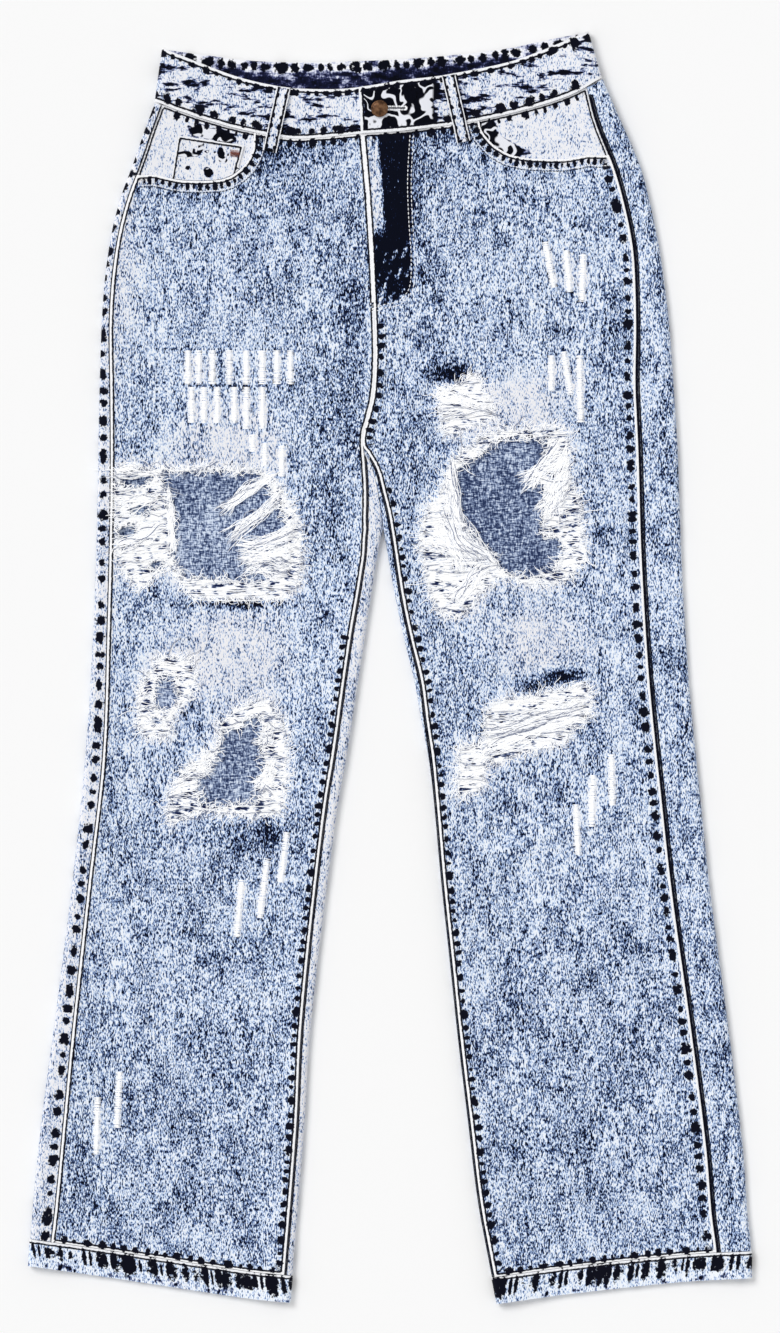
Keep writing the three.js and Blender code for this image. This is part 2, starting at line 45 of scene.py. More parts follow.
cloth = 1.2
layer = 1.5
gap = 0.3
hemCloth = 2.4
hemDepth = 22
ropePitch = 12.5
bandCloth = 2.6
foldRadius = 3.4
foldRise = 3.8
foldReach = 34
apexY = 114
crotchY = 181
waistY = 460
lowestRow = -480
inseamTop = 178
bothSides = ("right", "left")
flyBottom = 293
flyUnderlap = 12
loopWidth = 11
loopCloth = 1.8
clothLevels = {"under": 0.6, "over": 2.2}
hemLevels = {"under": 1.2, "over": 3.9}
bandLevels = {"under": 1.3, "over": 4.4}


def through(*pairs):
    # a smooth function through a few (place, value) pairs
    p = np.array([a for a, _ in pairs], float)
    v = np.array([b for _, b in pairs], float)
    before = np.r_[0, np.arange(len(p) - 1)]
    after = np.r_[np.arange(1, len(p)), len(p) - 1]
    slope = (v[after] - v[before]) / (p[after] - p[before])

    def value(place):
        x = np.asarray(place, float)
        i = np.clip(np.searchsorted(p, x, side="right") - 1, 0, len(p) - 2)
        span = p[i + 1] - p[i]
        t = (x - p[i]) / span
        c = np.clip(t, 0, 1)
        rise = (3 - 2 * c) * c * c
        inner = v[i] + (v[i + 1] - v[i]) * rise + span * c * (1 - c) * (slope[i] * (1 - c) - slope[i + 1] * c)
        beyond = np.where(t > 1, slope[i + 1] * (x - p[i + 1]), np.where(t < 0, slope[i] * (x - p[i]), 0))
        return inner + beyond
    return value


def mix(a, b, t):
    return a + (b - a) * t


def smooth(t):
    c = np.clip(t, 0, 1)
    return c * c * (3 - 2 * c)


def bell(t, u=0.0):
    # 1 in the middle, falling off smoothly on all sides
    return np.exp(-(t**2) - u**2)


def runOf(line):
    # the length along a flat line, at each of its points
    return np.r_[0, np.cumsum(np.hypot(*np.diff(line, axis=0).T))]


def columns(layerName, base, reach, shares):
    # the columns of a sheet, at shares of a reach from a base line; both are functions of y
    return [{"layer": layerName, "x": lambda y, s=s: base(y) + reach(y) * s} for s in shares]


# ---- the cut of the jeans, as in the construction: x at a height, insets measured in from a fold ----
legs = {
    "right": {
        "inward": 1,
        "outer": through(
            (-492, -296), (-446, -293), (-375, -286), (-292, -275), (-174, -260), (-77, -250), (-7, -245),
            (82, -241), (223, -238), (302, -235), (351, -229), (384, -221), (414, -210), (440, -201),
            (464, -192)),
        "inner": through(
            (-520, -83), (-436, -76), (-371, -71), (-305, -67), (-239, -60), (-174, -52), (-108, -43),
            (-75, -37), (-10, -27), (56, -17), (89, -12), (apexY, -6.8)),
        "outseam": through(
            (-494, 15), (-446, 18), (-375, 18), (-292, 15), (-174, 13), (-78, 14), (39, 11), (168, 10),
            (223, 8.5), (285, 6), (335, 5.5), (400, 6), (440, 6), (465, 6)),
        "inseam": through(
            (-494, 6), (-371, 6), (-239, 8), (-75, 10), (23, 11), (89, 10), (apexY, 13), (138, 10.5),
            (160, 6.5), (178, 0.9)),
        "hem": through((-296, -490), (-234, -499), (-175, -508), (-114, -517), (-82, -520)),
        "hemMiddle": -505,
    },
    "left": {
        "inward": -1,
        "outer": through(
            (-500, 295), (-477, 295), (-446, 292), (-392, 288), (-292, 276), (-187, 262), (-103, 253),
            (-11, 244), (89, 238), (175, 235), (223, 232), (280, 228), (314, 224), (348, 219), (390, 210),
            (411, 204), (428, 197), (455, 185), (483, 173)),
        "inner": through(
            (-521, 88), (-485, 81), (-436, 72), (-371, 64), (-305, 56), (-239, 49), (-174, 42), (-108, 36),
            (-75, 32), (-43, 26), (-10, 20), (23, 12), (56, 5), (89, -1), (apexY, -5.2)),
        "outseam": through(
            (-500, 27), (-446, 29), (35, 32), (223, 31), (277, 27), (347, 21), (440, 21), (483, 14)),
        "inseam": through(
            (-521, 1.5), (-110, 1.5), (-75, 2.2), (-43, 3.5), (-10, 5), (56, 5), (apexY, 6), (144, 4),
            (165, 3.5), (178, 0.9)),
        "hem": through((88, -521), (147, -513), (241, -503), (295, -500)),
        "hemMiddle": -509,
    },
}
crotchSeam = through((apexY, -6), (138, -9), (160, -14), (crotchY, -22))
centreFront = through(
    (crotchY, -22.5), (191, -22.5), (204, -19), (223, -14.5), (254, -12.5), (294, -13.5), (330, -15),
    (364, -17), (398, -19.5), (438, -23))
centreBack = through((apexY, -6), (150, -11), (200, -13), (330, -14), (461, -14))
yokeSeam = through((-230, 441), (-201, 438), (-110, 412), (-14, 392), (85, 420), (178, 455), (200, 462))
bandTopFront = through(
    (-186, 507), (-155, 495), (-128, 485), (-105, 479), (-80, 475), (-46, 474), (-23, 476), (8, 481),
    (40, 485), (92, 495), (117, 503), (142, 513), (161, 521))
bandBottomFront = through(
    (-192, 464), (-172, 456), (-147, 448), (-121, 441), (-81, 434), (-55, 435), (-23, 438), (8, 440),
    (62, 447), (92, 453), (126, 462), (151, 471), (172, 483))
bandTopBack = through(
    (-186, 507), (-158, 503), (-105, 497), (-38, 497), (25, 500), (92, 507), (126, 514), (161, 521))
bandBottomBack = through(
    (-192, 464), (-183, 460.5), (-105, 458), (-14, 459), (92, 467), (163, 478), (172, 483))


def apexClear(y):
    return gap / 2 + 0.65 * (1 - smooth((y - apexY) / 40))


def seamClear(inset):
    return gap / 2 + 0.35 * (1 - np.clip(inset / 6, 0, 1))


def foldOf(side, y):
    leg = legs[side]
    return np.where(y <= apexY, leg["inner"](y), crotchSeam(y) - leg["inward"] * apexClear(y))


def loopLift(y):
    return (loopCloth + gap) * smooth((y - 395) / 48)


# Creases: soft ridges along given lines, as ((x, y), (x, y), height, half width).
creases = {
    "right": [
        ((-30, 205), (-78, 262), 2.0, 7), ((-34, 190), (-100, 232), 1.5, 8),
        ((-26, 172), (-88, 190), 1.4, 7), ((-222, 330), (-150, 372), 1.2, 12),
        ((-60, 330), (-150, 300), 1.0, 14), ((-228, 40), (-150, 22), 1.6, 10),
        ((-52, -4), (-130, 20), 1.5, 9), ((-232, -118), (-150, -152), 1.4, 12),
        ((-78, -160), (-160, -128), 1.3, 12), ((-120, -240), (-132, -420), 1.6, 20),
        ((-250, -300), (-262, -440), 1.4, 14), ((-196, -210), (-214, -330), 1.3, 16)],
    "left": [
        ((2, 205), (48, 258), 2.0, 7), ((6, 190), (74, 222), 1.5, 8), ((2, 168), (60, 176), 1.3, 7),
        ((178, 340), (110, 368), 1.2, 12), ((30, 330), (110, 300), 1.0, 14),
        ((196, 52), (150, 20), 1.4, 10), ((46, -8), (120, 14), 1.4, 9),
        ((210, -110), (130, -142), 1.5, 12), ((66, -168), (150, -120), 1.5, 12),
        ((118, -210), (150, -400), 1.7, 20), ((228, -250), (240, -420), 1.4, 14),
        ((176, -180), (200, -300), 1.3, 16)],
}


def alongSegment(x, y, a, b):
    # distance from a segment, and the share of its length
    ax, ay = a
    dx, dy = b[0] - ax, b[1] - ay
    t = np.clip(((x - ax) * dx + (y - ay) * dy) / (dx * dx + dy * dy), 0, 1)
    return np.hypot(x - ax - t * dx, y - ay - t * dy), t


def creaseLines(side, x, y):
    rise = np.zeros_like(x)
    for a, b, height, half in creases[side]:
        d, t = alongSegment(x, y, a, b)
        rise += height * bell(d / half) * np.sin(np.pi * (0.15 + 0.7 * t))
    return rise * smooth((400 - y) / 60) * smooth((y + 486) / 60)


def creaseRise(side, x, y):
    # the lift of the front: its creases, and the slow swell of cloth that doesn't lie quite flat
    slow = 0.7 + 0.7 * np.sin(x * 0.021 + y * 0.006) * np.sin(y * 0.0145 + x * 0.004)
    return creaseLines(side, x, y) + slow * smooth((400 - y) / 60) * smooth((y + 486) / 60)


def folds(side, x, y):
    leg = legs[side]
    outer = np.maximum(0, (x - leg["outer"](y)) * leg["inward"])
    inner = np.maximum(0, (foldOf(side, y) - x) * leg["inward"])
    opened = smooth((y - apexY) / 22)

    def turn(d):
        return np.sqrt(1 - (1 - np.clip(d / foldRadius, 0, 1)) ** 2)
    crotch = np.where(y > apexY, 1 - smooth((y - apexY) / 110), 1)
    rise = foldRise * np.maximum(bell(outer / foldReach), crotch * bell(inner / foldReach))
    return turn(outer) * mix(turn(inner), 1, opened), rise


def heights(side, x, y, levels=clothLevels):
    turn, rise = folds(side, x, y)
    lift = loopLift(y)
    under = levels["under"] + lift
    over = levels["over"] + lift + rise
    if levels is clothLevels:
        over = over + 1.9 * smooth((y - 345) / 50) + 1.2 * (1 - smooth((y + 485) / 40))
    fold = (under + np.maximum(over, levels["over"] + lift + foldRise)) / 2
    return {"under": mix(fold, under, turn), "over": mix(fold, over, turn)}, turn


def flyRise(x, y):
    return 1.7 * smooth((y - flyBottom + 28) / 20) * (1 - smooth((x - centreFront(y) - 15) / 20))


def overZ(side, x, y):
    # the mid-surface of what lies on top, creases and all
    z, turn = heights(side, x, y)
    z = z["over"] + creaseRise(side, x, y) * turn
    return z + (flyRise(x, y) if side == "left" else 0)


# ---- sheets ----
def rowY(side, row, x, top):
    # a level row, bent to follow the hem at its lower end and the top seam at its upper end
    toHem = 1 - smooth((row - lowestRow) / 290)
    toTop = smooth((row - 305) / (waistY - 305))
    hemShift = legs[side]["hem"](x) + hemDepth + 1.5 * gap - lowestRow
    return row + hemShift * toHem + (top(x) - waistY) * toTop


def place(side, rows, column, top, fly=False):
    y = rows.copy()
    x = column["x"](y)
    for _ in range(6):
        y = rowY(side, rows, x, top)
        x = column["x"](y)
    z, turn = heights(side, x, y)
    rise = 0.5 * creaseLines(side, x, y) if column["layer"] == "under" else creaseRise(side, x, y)
    z = z[column["layer"]] + rise * turn
    if fly:
        z = z + flyRise(x, y)
    return np.stack([x, y, z], -1)


def gridSheet(name, points):
    # a grid primitive whose points are laid row by row; its faces look up where x grows along a row
    rows, cols = points.shape[:2]
    bpy.ops.mesh.primitive_grid_add(x_subdivisions=cols - 1, y_subdivisions=rows - 1, size=1)
    sheet = bpy.context.object
    sheet.name = name
    sheet.data.name = name
    sheet.data.vertices.foreach_set("co", (points * mm).astype(np.float32).ravel())
    sheet.data.update()
    return sheet


def joined(name, *objects):
    bpy.ops.object.select_all(action="DESELECT")
    for o in objects:
        o.select_set(True)
    bpy.context.view_layer.objects.active = objects[0]
    bpy.ops.object.join()
    whole = bpy.context.object
    whole.name = name
    whole.data.name = name
    return whole


def mergePoints(sheet, distance=0.02):
    bpy.ops.object.select_all(action="DESELECT")
    sheet.select_set(True)
    bpy.context.view_layer.objects.active = sheet
    bpy.ops.object.mode_set(mode="EDIT")
    bpy.ops.mesh.select_all(action="SELECT")
    bpy.ops.mesh.remove_doubles(threshold=distance * mm)
    bpy.ops.object.mode_set(mode="OBJECT")
    return sheet


def coords(sheet):
    co = np.empty(len(sheet.data.vertices) * 3, np.float32)
    sheet.data.vertices.foreach_get("co", co)
    return co.reshape(-1, 3).astype(float) / mm


def setCoords(sheet, points):
    sheet.data.vertices.foreach_set("co", (points * mm).astype(np.float32).ravel())
    sheet.data.update()


def outlinePoints(corners, step=1.6, wobble=0.0, seed=0):
    # a closed smooth outline through given corners, with a ragged edge where wobble is given
    c = np.array(corners, float)
    n = len(c)
    pts = []
    for i in range(n):
        p0, p1, p2, p3 = c[i - 1], c[i], c[(i + 1) % n], c[(i + 2) % n]
        count = max(2, int(np.hypot(*(p2 - p1)) / step))
        t = (np.arange(count) / count)[:, None]
        m1, m2 = (p2 - p0) * 0.4, (p3 - p1) * 0.4
        pts.append((2 * t**3 - 3 * t**2 + 1) * p1 + (t**3 - 2 * t**2 + t) * m1
                   + (-2 * t**3 + 3 * t**2) * p2 + (t**3 - t**2) * m2)
    pts = np.concatenate(pts)
    if wobble:
        own = np.random.default_rng(seed)
        shift = own.normal(0, wobble, (len(pts), 2))
        shift = (shift + np.roll(shift, 1, 0) + np.roll(shift, -1, 0)) / 2
        pts = pts + shift
    return pts


def insideOf(x, y, polygon):
    inside = np.zeros(x.shape, bool)
    px, py = polygon[:, 0], polygon[:, 1]
    qx, qy = np.roll(px, -1), np.roll(py, -1)
    for x0, y0, x1, y1 in zip(px, py, qx, qy):
        if y0 == y1:
            continue
        crosses = ((y0 > y) != (y1 > y)) & (x < (x1 - x0) * (y - y0) / (y1 - y0) + x0)
        inside ^= crosses
    return inside


def nearestOn(xy, line, closed=False):
    # distance to a polyline, the length along it, and the nearest point
    a = line if closed else line[:-1]
    b = np.roll(line, -1, 0) if closed else line[1:]
    d = b - a
    length = np.hypot(d[:, 0], d[:, 1])
    start = np.r_[0, np.cumsum(length)[:-1]]
    square = np.maximum(length**2, 1e-12)
    dist = np.empty(len(xy))
    run = np.empty(len(xy))
    near = np.empty((len(xy), 2))
    atOnce = 4000
    for lo in range(0, len(xy), atOnce):
        q = xy[lo:lo + atOnce]
        qx, qy = q[:, None, 0] - a[:, 0], q[:, None, 1] - a[:, 1]
        t = np.clip((qx * d[:, 0] + qy * d[:, 1]) / square, 0, 1)
        gx = qx - t * d[:, 0]
        gy = qy - t * d[:, 1]
        g = gx * gx + gy * gy
        k = g.argmin(1)
        i = np.arange(len(q))
        dist[lo:lo + atOnce] = np.sqrt(g[i, k])
        run[lo:lo + atOnce] = start[k] + t[i, k] * length[k]
        near[lo:lo + atOnce] = a[k] + t[i, k, None] * d[k]
    return dist, run, near


def trim(sheet, polygon, cell, keepInside=False):
    # cuts a sheet along an outline: points beyond it go, and the new edge is drawn onto the outline
    co = coords(sheet)
    low, high = polygon.min(0) - 2 * cell, polygon.max(0) + 2 * cell
    inBox = ((co[:, :2] > low) & (co[:, :2] < high)).all(1)
    gone = np.zeros(len(co), bool)
    gone[inBox] = insideOf(co[inBox, 0], co[inBox, 1], polygon)
    if keepInside:
        gone = ~gone
    dist = np.full(len(co), 1e3)
    d, _, near = nearestOn(co[inBox, :2], polygon, closed=True)
    dist[inBox] = d
    kept = gone & (dist < 0.5 * cell)
    gone &= ~kept
    bm = bmesh.new()
    bm.from_mesh(sheet.data)
    bm.verts.ensure_lookup_table()
    bmesh.ops.delete(bm, geom=[bm.verts[i] for i in np.nonzero(gone)[0]], context="VERTS")
    bm.to_mesh(sheet.data)
    bm.free()
    co = coords(sheet)
    edgeCount = np.zeros(len(co), int)
    bm = bmesh.new()
    bm.from_mesh(sheet.data)
    for e in bm.edges:
        if e.is_boundary:
            edgeCount[e.verts[0].index] += 1
            edgeCount[e.verts[1].index] += 1
    bm.free()
    inBox = ((co[:, :2] > low) & (co[:, :2] < high)).all(1) & (edgeCount > 0)
    d, _, near = nearestOn(co[inBox, :2], polygon, closed=True)
    close = d < 1.3 * cell
    idx = np.nonzero(inBox)[0][close]
    co[idx, :2] = near[close]
    setCoords(sheet, co)
    return sheet


def mark(sheet, **values):
    # keeps values on the mesh for its material: one for each point, or one for all
    count = len(sheet.data.vertices)
    for name, value in values.items():
        kept = sheet.data.attributes.new(name, "FLOAT", "POINT")
        kept.data.foreach_set("value", np.full(count, value, np.float32))


def setMaterials(sheet, *materials):
    sheet.data.materials.clear()
    for m in materials:
        sheet.data.materials.append(m)


def thicken(sheet, thickness, inner=0):
    bpy.ops.object.select_all(action="DESELECT")
    sheet.select_set(True)
    bpy.context.view_layer.objects.active = sheet
    wall = sheet.modifiers.new("wall", "SOLIDIFY")
    wall.thickness = thickness * mm
    wall.offset = 0
    wall.use_rim = True
    wall.material_offset = inner
    bpy.ops.object.modifier_apply(modifier="wall")
    bpy.ops.object.shade_smooth_by_angle(angle=math.radians(50))


def finished(piece, slot, *nodes):
    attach(piece, "root")
    if nodes:
        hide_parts(*nodes)


def walled(sheet, thickness, outside, slot, node, inside="inside"):
    # a sheet given both its finishes and its wall, standing for one node
    setMaterials(sheet, finishes[outside], finishes[inside])
    thicken(sheet, thickness, inner=1)
    finished(sheet, slot, node)


# ---- finishes ----
def srgb(r, g, b):
    def linear(c):
        c /= 255
        return c / 12.92 if c < 0.04045 else ((c + 0.055) / 1.055) ** 2.4
    return (linear(r), linear(g), linear(b), 1)


navy = srgb(8, 10, 24)
number, colour = "NodeSocketFloat", "NodeSocketColor"


class Nodes:
    # makes and links the shader nodes of one tree
    def __init__(self, tree):
        self.tree = tree

    def add(self, kind, inputs=None, **settings):
        node = self.tree.nodes.new(kind)
        for key, value in settings.items():
            setattr(node, key, value)
        for key, value in (inputs or {}).items():
            if isinstance(value, bpy.types.NodeSocket):
                self.tree.links.new(value, node.inputs[key])
            else:
                node.inputs[key].default_value = value
        return node

    def calc(self, operation, *values):
        return self.add("ShaderNodeMath", dict(enumerate(values)), operation=operation).outputs[0]

    def vary(self, noise, amount, base):
        # base, raised and lowered by a noise around its middle
        return self.calc("MULTIPLY_ADD", self.calc("SUBTRACT", noise, 0.5), amount, base)

    def ramp(self, value, stops):
        node = self.add("ShaderNodeValToRGB", {0: value})
        while len(node.color_ramp.elements) < len(stops):
            node.color_ramp.elements.new(0.5)
        for element, (at, shade) in zip(node.color_ramp.elements, stops):
            element.position = at
            element.color = shade
        return node.outputs[0]

    def blend(self, factor, a, b, kind="MIX"):
        mixer = self.add("ShaderNodeMix", {0: factor, 6: a, 7: b}, data_type="RGBA", blend_type=kind)
        return mixer.outputs[2]

    def step(self, value, low, high):
        return self.add("ShaderNodeMapRange", {0: value, 1: low, 2: high, 3: 0.0, 4: 1.0}).outputs[0]

    def spot(self, stretch=(1, 1, 1), shift=(0, 0, 0), turn=0.0):
        # the place on the object, stretched for a pattern
        spot = self.add("ShaderNodeTexCoord").outputs["Object"]
        return self.add("ShaderNodeMapping", {0: spot, 1: shift, 2: (0, 0, turn), 3: stretch}).outputs[0]

    def noise(self, spot, scale=1.0, detail=2.0, roughness=0.6, distortion=0.0):
        return self.add("ShaderNodeTexNoise", {
            "Vector": spot, "Scale": scale, "Detail": detail, "Roughness": roughness,
            "Distortion": distortion}).outputs[0]

    def kept(self, name):
        # a value kept on the mesh
        return self.add("ShaderNodeAttribute", attribute_name=name).outputs["Fac"]

    def group(self, name, inputs=None):
        return self.add("ShaderNodeGroup", inputs, node_tree=groups[name]).outputs

    def seam(self, rim):
        marks = {name.capitalize(): self.kept(name) for name in ("edge", "along", "across", "dab", "line")}
        return self.group("seam", {**marks, "Rim": rim})

    def give(self, **values):
        self.add("NodeGroupOutput", values)
        return self.tree


def newGroup(name, inputs, outputs):
    tree = bpy.data.node_groups.new(name, "ShaderNodeTree")
    for socket, value in inputs.items():
        tree.interface.new_socket(socket, in_out="INPUT", socket_type=number).default_value = value
    for socket, kind in outputs.items():
        tree.interface.new_socket(socket, in_out="OUTPUT", socket_type=kind)
    return Nodes(tree), tree.nodes.new("NodeGroupInput").outputs


def acidWashGroup():
    # speckled acid wash: Tone moves it from navy, at -1, through pale blue to white, at 1
    n, given = newGroup("acidWash", {"Tone": 0.0, "Blush": 0.6}, {"Color": colour, "Grain": number})
    fine = n.noise(n.spot((1100, 400, 800)), roughness=0.55)
    streaks = n.noise(n.spot((300, 85, 200), shift=(3, 5, 1)))
    cloud = n.noise(n.spot((46, 24, 34)), detail=4.0)
    creased = n.noise(n.spot((30, 120, 30)), detail=3.0)
    body = n.vary(fine, 4.1, 0.52)
    for noise, amount in ((streaks, 1.45), (cloud, 1.1), (creased, 0.34)):
        body = n.vary(noise, amount, body)
    body = n.calc("ADD", body, n.calc("MULTIPLY", given["Tone"], 0.42))
    shade = n.ramp(body, [
        (0.0, srgb(4, 8, 24)), (0.15, srgb(22, 37, 80)), (0.29, srgb(72, 96, 148)),
        (0.40, srgb(120, 145, 192)), (0.50, srgb(160, 184, 222)), (0.60, srgb(191, 212, 244)),
        (0.74, srgb(214, 230, 253)), (0.92, srgb(243, 248, 255))])
    blush = n.calc("MULTIPLY", n.step(given["Tone"], 0.18, 0.65), given["Blush"])
    return n.give(Color=n.blend(blush, shade, srgb(252, 243, 238), "MULTIPLY"), Grain=body)


def seamMarksGroup():
    # What washing leaves along a seam, and light painted beside it. Along counts the dabs, Across is 0 to 1
    # over the row that they stand in, and Edge is the distance from the seam in mm: a rim first, a worn edge
    # partly painted as a highlight (painted shadow where the rim is navy), then a thin dark line where Line
    # is 1, which is painted shadow.
    n, given = newGroup(
        "seamMarks", {"Edge": 99.0, "Along": 0.0, "Across": 9.0, "Dab": 0.0, "Line": 0.0, "Rim": 1.2},
        {"Dabs": number, "Rim": number, "Line": number})
    ragged = n.calc("SUBTRACT", n.noise(n.spot(), 330.0), 0.5)
    dabOrder = n.calc("FLOOR", given["Along"])
    own = n.add("ShaderNodeTexWhiteNoise", {"W": dabOrder}, noise_dimensions="1D").outputs[0]
    cycle = n.calc("ABSOLUTE", n.calc("SUBTRACT", n.calc("FRACT", given["Along"]), 0.5))
    width = n.calc("MULTIPLY", n.calc("MULTIPLY_ADD", own, 0.16, 0.20), given["Dab"])
    fromSide = n.calc("POWER", n.calc("DIVIDE", cycle, n.calc("MAXIMUM", width, 0.01)), 2.0)
    height = n.calc("MULTIPLY_ADD", own, 0.30, 0.34)
    fromMiddle = n.calc("DIVIDE", n.calc("SUBTRACT", given["Across"], 0.48), height)
    whole = n.calc("ADD", fromSide, n.calc("POWER", fromMiddle, 2.0))
    whole = n.calc("ADD", whole, n.calc("MULTIPLY", ragged, 3.2))
    dabs = n.calc("MULTIPLY", n.step(whole, 1.15, 0.8), n.step(given["Dab"], 0.25, 0.5))
    edge = n.calc("ADD", given["Edge"], n.calc("MULTIPLY", ragged, 1.3))
    rim = given["Rim"]
    pastRim = n.step(edge, rim, n.calc("ADD", rim, 0.3))
    withinLine = n.step(edge, n.calc("ADD", rim, 1.9), n.calc("ADD", rim, 1.3))
    line = n.calc("MULTIPLY", n.calc("MULTIPLY", pastRim, withinLine), given["Line"])
    return n.give(Dabs=dabs, Rim=n.step(edge, n.calc("ADD", rim, 0.35), rim), Line=line)


def frayGroup():
    # a mat of loose weft threads lying across the leg
    n, _ = newGroup("frayedWeft", {}, {"Color": colour, "Lines": number})
    lines = n.noise(n.spot((150, 480, 110)))
    patch = n.noise(n.spot(), 130.0, roughness=0.5)
    shade = n.ramp(n.vary(patch, 0.9, n.vary(lines, 1.3, 0.5)), [
        (0.29, srgb(20, 30, 66)), (0.37, srgb(92, 108, 148)), (0.43, srgb(214, 220, 232)),
        (0.50, srgb(253, 253, 253))])
    return n.give(Color=shade, Lines=lines)


def twillGroup():
    # the fine slanting ribs of the weave
    n, _ = newGroup("twillWeave", {}, {"Ribs": number})
    slant = n.spot(turn=math.radians(-28))
    wave = n.add("ShaderNodeTexWave", {"Vector": slant, "Scale": 210.0, "Distortion": 1.2, "Detail": 1.0})
    return n.give(Ribs=wave.outputs[1])


groups = {"wash": acidWashGroup(), "seam": seamMarksGroup(), "fray": frayGroup(), "twill": twillGroup()}


def startMaterial(name, roughness=0.92, sheen=0.04):
    material = bpy.data.materials.new(name)
    material.use_nodes = True
    surface = material.node_tree.nodes["Principled BSDF"].inputs
    surface["Roughness"].default_value = roughness
    surface["Specular IOR Level"].default_value = 0.08
    surface["Sheen Weight"].default_value = sheen
    surface["Sheen Roughness"].default_value = 0.5
    return material, Nodes(material.node_tree), surface


def coat(n, surface, shade, height, strength, depth, glows=False):
    # gives the surface its colour and relief, and lets it glow in its own colour where that is asked for
    n.tree.links.new(shade, surface["Base Color"])
    if glows:
        n.tree.links.new(shade, surface["Emission Color"])
    bump = n.add("ShaderNodeBump", {"Strength": strength, "Distance": depth, "Height": height})
    n.tree.links.new(bump.outputs[0], surface["Normal"])


def denimMaterial(name, rim, rimColour, toneShift=0.0):
    # outside of the denim: wash, seam marks and frayed parts, from the marks kept on the mesh; the seam rim
    # and the thin dark line after it are partly painted light
    material, n, surface = startMaterial(name)
    fray = n.kept("fray")
    seam = n.seam(rim)
    wash = n.group("wash", {"Tone": n.calc("ADD", n.kept("tone"), toneShift)})
    weft = n.group("fray")
    # the rim is a worn edge partly painted as a highlight where rimColour is white, and painted shadow where
    # it is navy; the dark line after it is painted shadow
    shade = n.blend(seam["Rim"], wash["Color"], rimColour)
    shade = n.blend(seam["Line"], shade, navy)
    shade = n.blend(seam["Dabs"], shade, srgb(9, 12, 27))
    shade = n.blend(fray, shade, weft["Color"])
    ribs = n.group("twill")["Ribs"]
    relief = n.calc("ADD", n.calc("MULTIPLY", wash["Grain"], 0.6), n.calc("MULTIPLY", ribs, 0.4))
    relief = n.calc("ADD", relief, n.calc("MULTIPLY", n.calc("MULTIPLY", weft["Lines"], fray), 1.5))
    coat(n, surface, shade, relief, 0.45, 0.0005, glows=True)
    # painted light: the frayed weft glows a little in its own colour, so that it looks brighter
    n.tree.links.new(n.calc("MULTIPLY", fray, 0.08), surface["Emission Strength"])
    return material


def insideMaterial(name, deep=False):
    # the wrong side of the denim, with its crossed threads; the inside of the band is the deep one
    material, n, surface = startMaterial(name)
    warp = n.noise(n.spot((900, 260, 560)))
    weft = n.noise(n.spot((240, 900, 560)))
    if deep:
        blot = n.noise(n.spot((70, 150, 60)), detail=4.0, roughness=0.65)
        value = n.vary(warp, 0.25, blot)
        value = n.calc("ADD", value, n.calc("MULTIPLY", n.step(n.kept("across"), 1.1, 0.6), 0.20))
        shade = n.ramp(value, [
            (0.38, srgb(4, 6, 18)), (0.52, srgb(20, 24, 54)), (0.58, srgb(74, 80, 122)),
            (0.64, srgb(190, 196, 222)), (0.72, srgb(246, 247, 252))])
        shade = n.blend(n.seam(0.8)["Dabs"], shade, srgb(6, 8, 22))
    else:
        cloud = n.noise(n.spot((60, 18, 30)), detail=3.0, roughness=0.5)
        threads = n.calc("SUBTRACT", n.calc("ADD", warp, weft), 1.0)
        value = n.vary(cloud, 0.6, n.calc("MULTIPLY_ADD", threads, 1.9, 0.5))
        value = n.calc("ADD", value, n.kept("worn"))
        shade = n.ramp(value, [
            (0.16, srgb(36, 50, 86)), (0.34, srgb(82, 98, 134)), (0.5, srgb(124, 140, 174)),
            (0.64, srgb(160, 176, 206)), (0.84, srgb(216, 227, 244))])
    coat(n, surface, shade, value, 0.4, 0.0004)
    return material


def paleMaterial(name, coverage, stretch, seed, rim=1.0, ground=0.85, blush=0.0):
    # denim bleached nearly white, with navy left in it: more where the tone is low, and squiggles
    # where it is lowest
    material, n, surface = startMaterial(name)
    blot = n.noise(n.spot(stretch, shift=(seed, seed, 0)), detail=3.5, roughness=0.62)
    tone = n.kept("tone")
    seam = n.seam(rim)
    wash = n.group("wash", {"Tone": ground, "Blush": blush})
    darkening = n.ramp(n.calc("ADD", blot, n.calc("MULTIPLY", tone, 0.35)), [
        (coverage - 0.07, srgb(4, 6, 18)), (coverage - 0.015, srgb(16, 20, 46)),
        (coverage + 0.015, srgb(150, 160, 194)), (coverage + 0.045, srgb(255, 255, 255))])
    shade = n.blend(1.0, wash["Color"], darkening, "MULTIPLY")
    curl = n.noise(n.spot(), 85.0, detail=0.0, roughness=0.5, distortion=1.0)
    squiggle = n.step(n.calc("ABSOLUTE", n.calc("SUBTRACT", curl, 0.5)), 0.085, 0.055)
    shade = n.blend(n.calc("MULTIPLY", squiggle, n.step(tone, -0.45, -0.6)), shade, srgb(236, 238, 246))
    # the seam's white rim is a worn edge partly painted as a highlight, and the thin navy line after it is
    # painted shadow
    shade = n.blend(seam["Rim"], shade, srgb(243, 244, 248))
    shade = n.blend(seam["Line"], shade, navy)
    shade = n.blend(seam["Dabs"], shade, navy)
    ribs = n.group("twill")["Ribs"]
    relief = n.calc("ADD", n.calc("MULTIPLY", blot, 0.7), n.calc("MULTIPLY", ribs, 0.3))
    coat(n, surface, shade, relief, 0.5, 0.0005)
    return material


def threadMaterial(name, low, high, glow=0.0):
    # glow is painted light: the threads emit a little of their own colour so that they look brighter than
    # their shading leaves them; threads marked with shadow are painted darker, as shade between the bundles
    material, n, surface = startMaterial(name, 0.88, 0.1)
    fuzz = n.noise(n.spot(), 420.0, detail=1.0, roughness=0.5)
    shade = n.blend(n.kept("shadow"), n.ramp(fuzz, [(0.3, low), (0.6, high)]), srgb(74, 88, 124))
    coat(n, surface, shade, fuzz, 0.3, 0.0002, glows=True)
    surface["Emission Strength"].default_value = glow
    return material


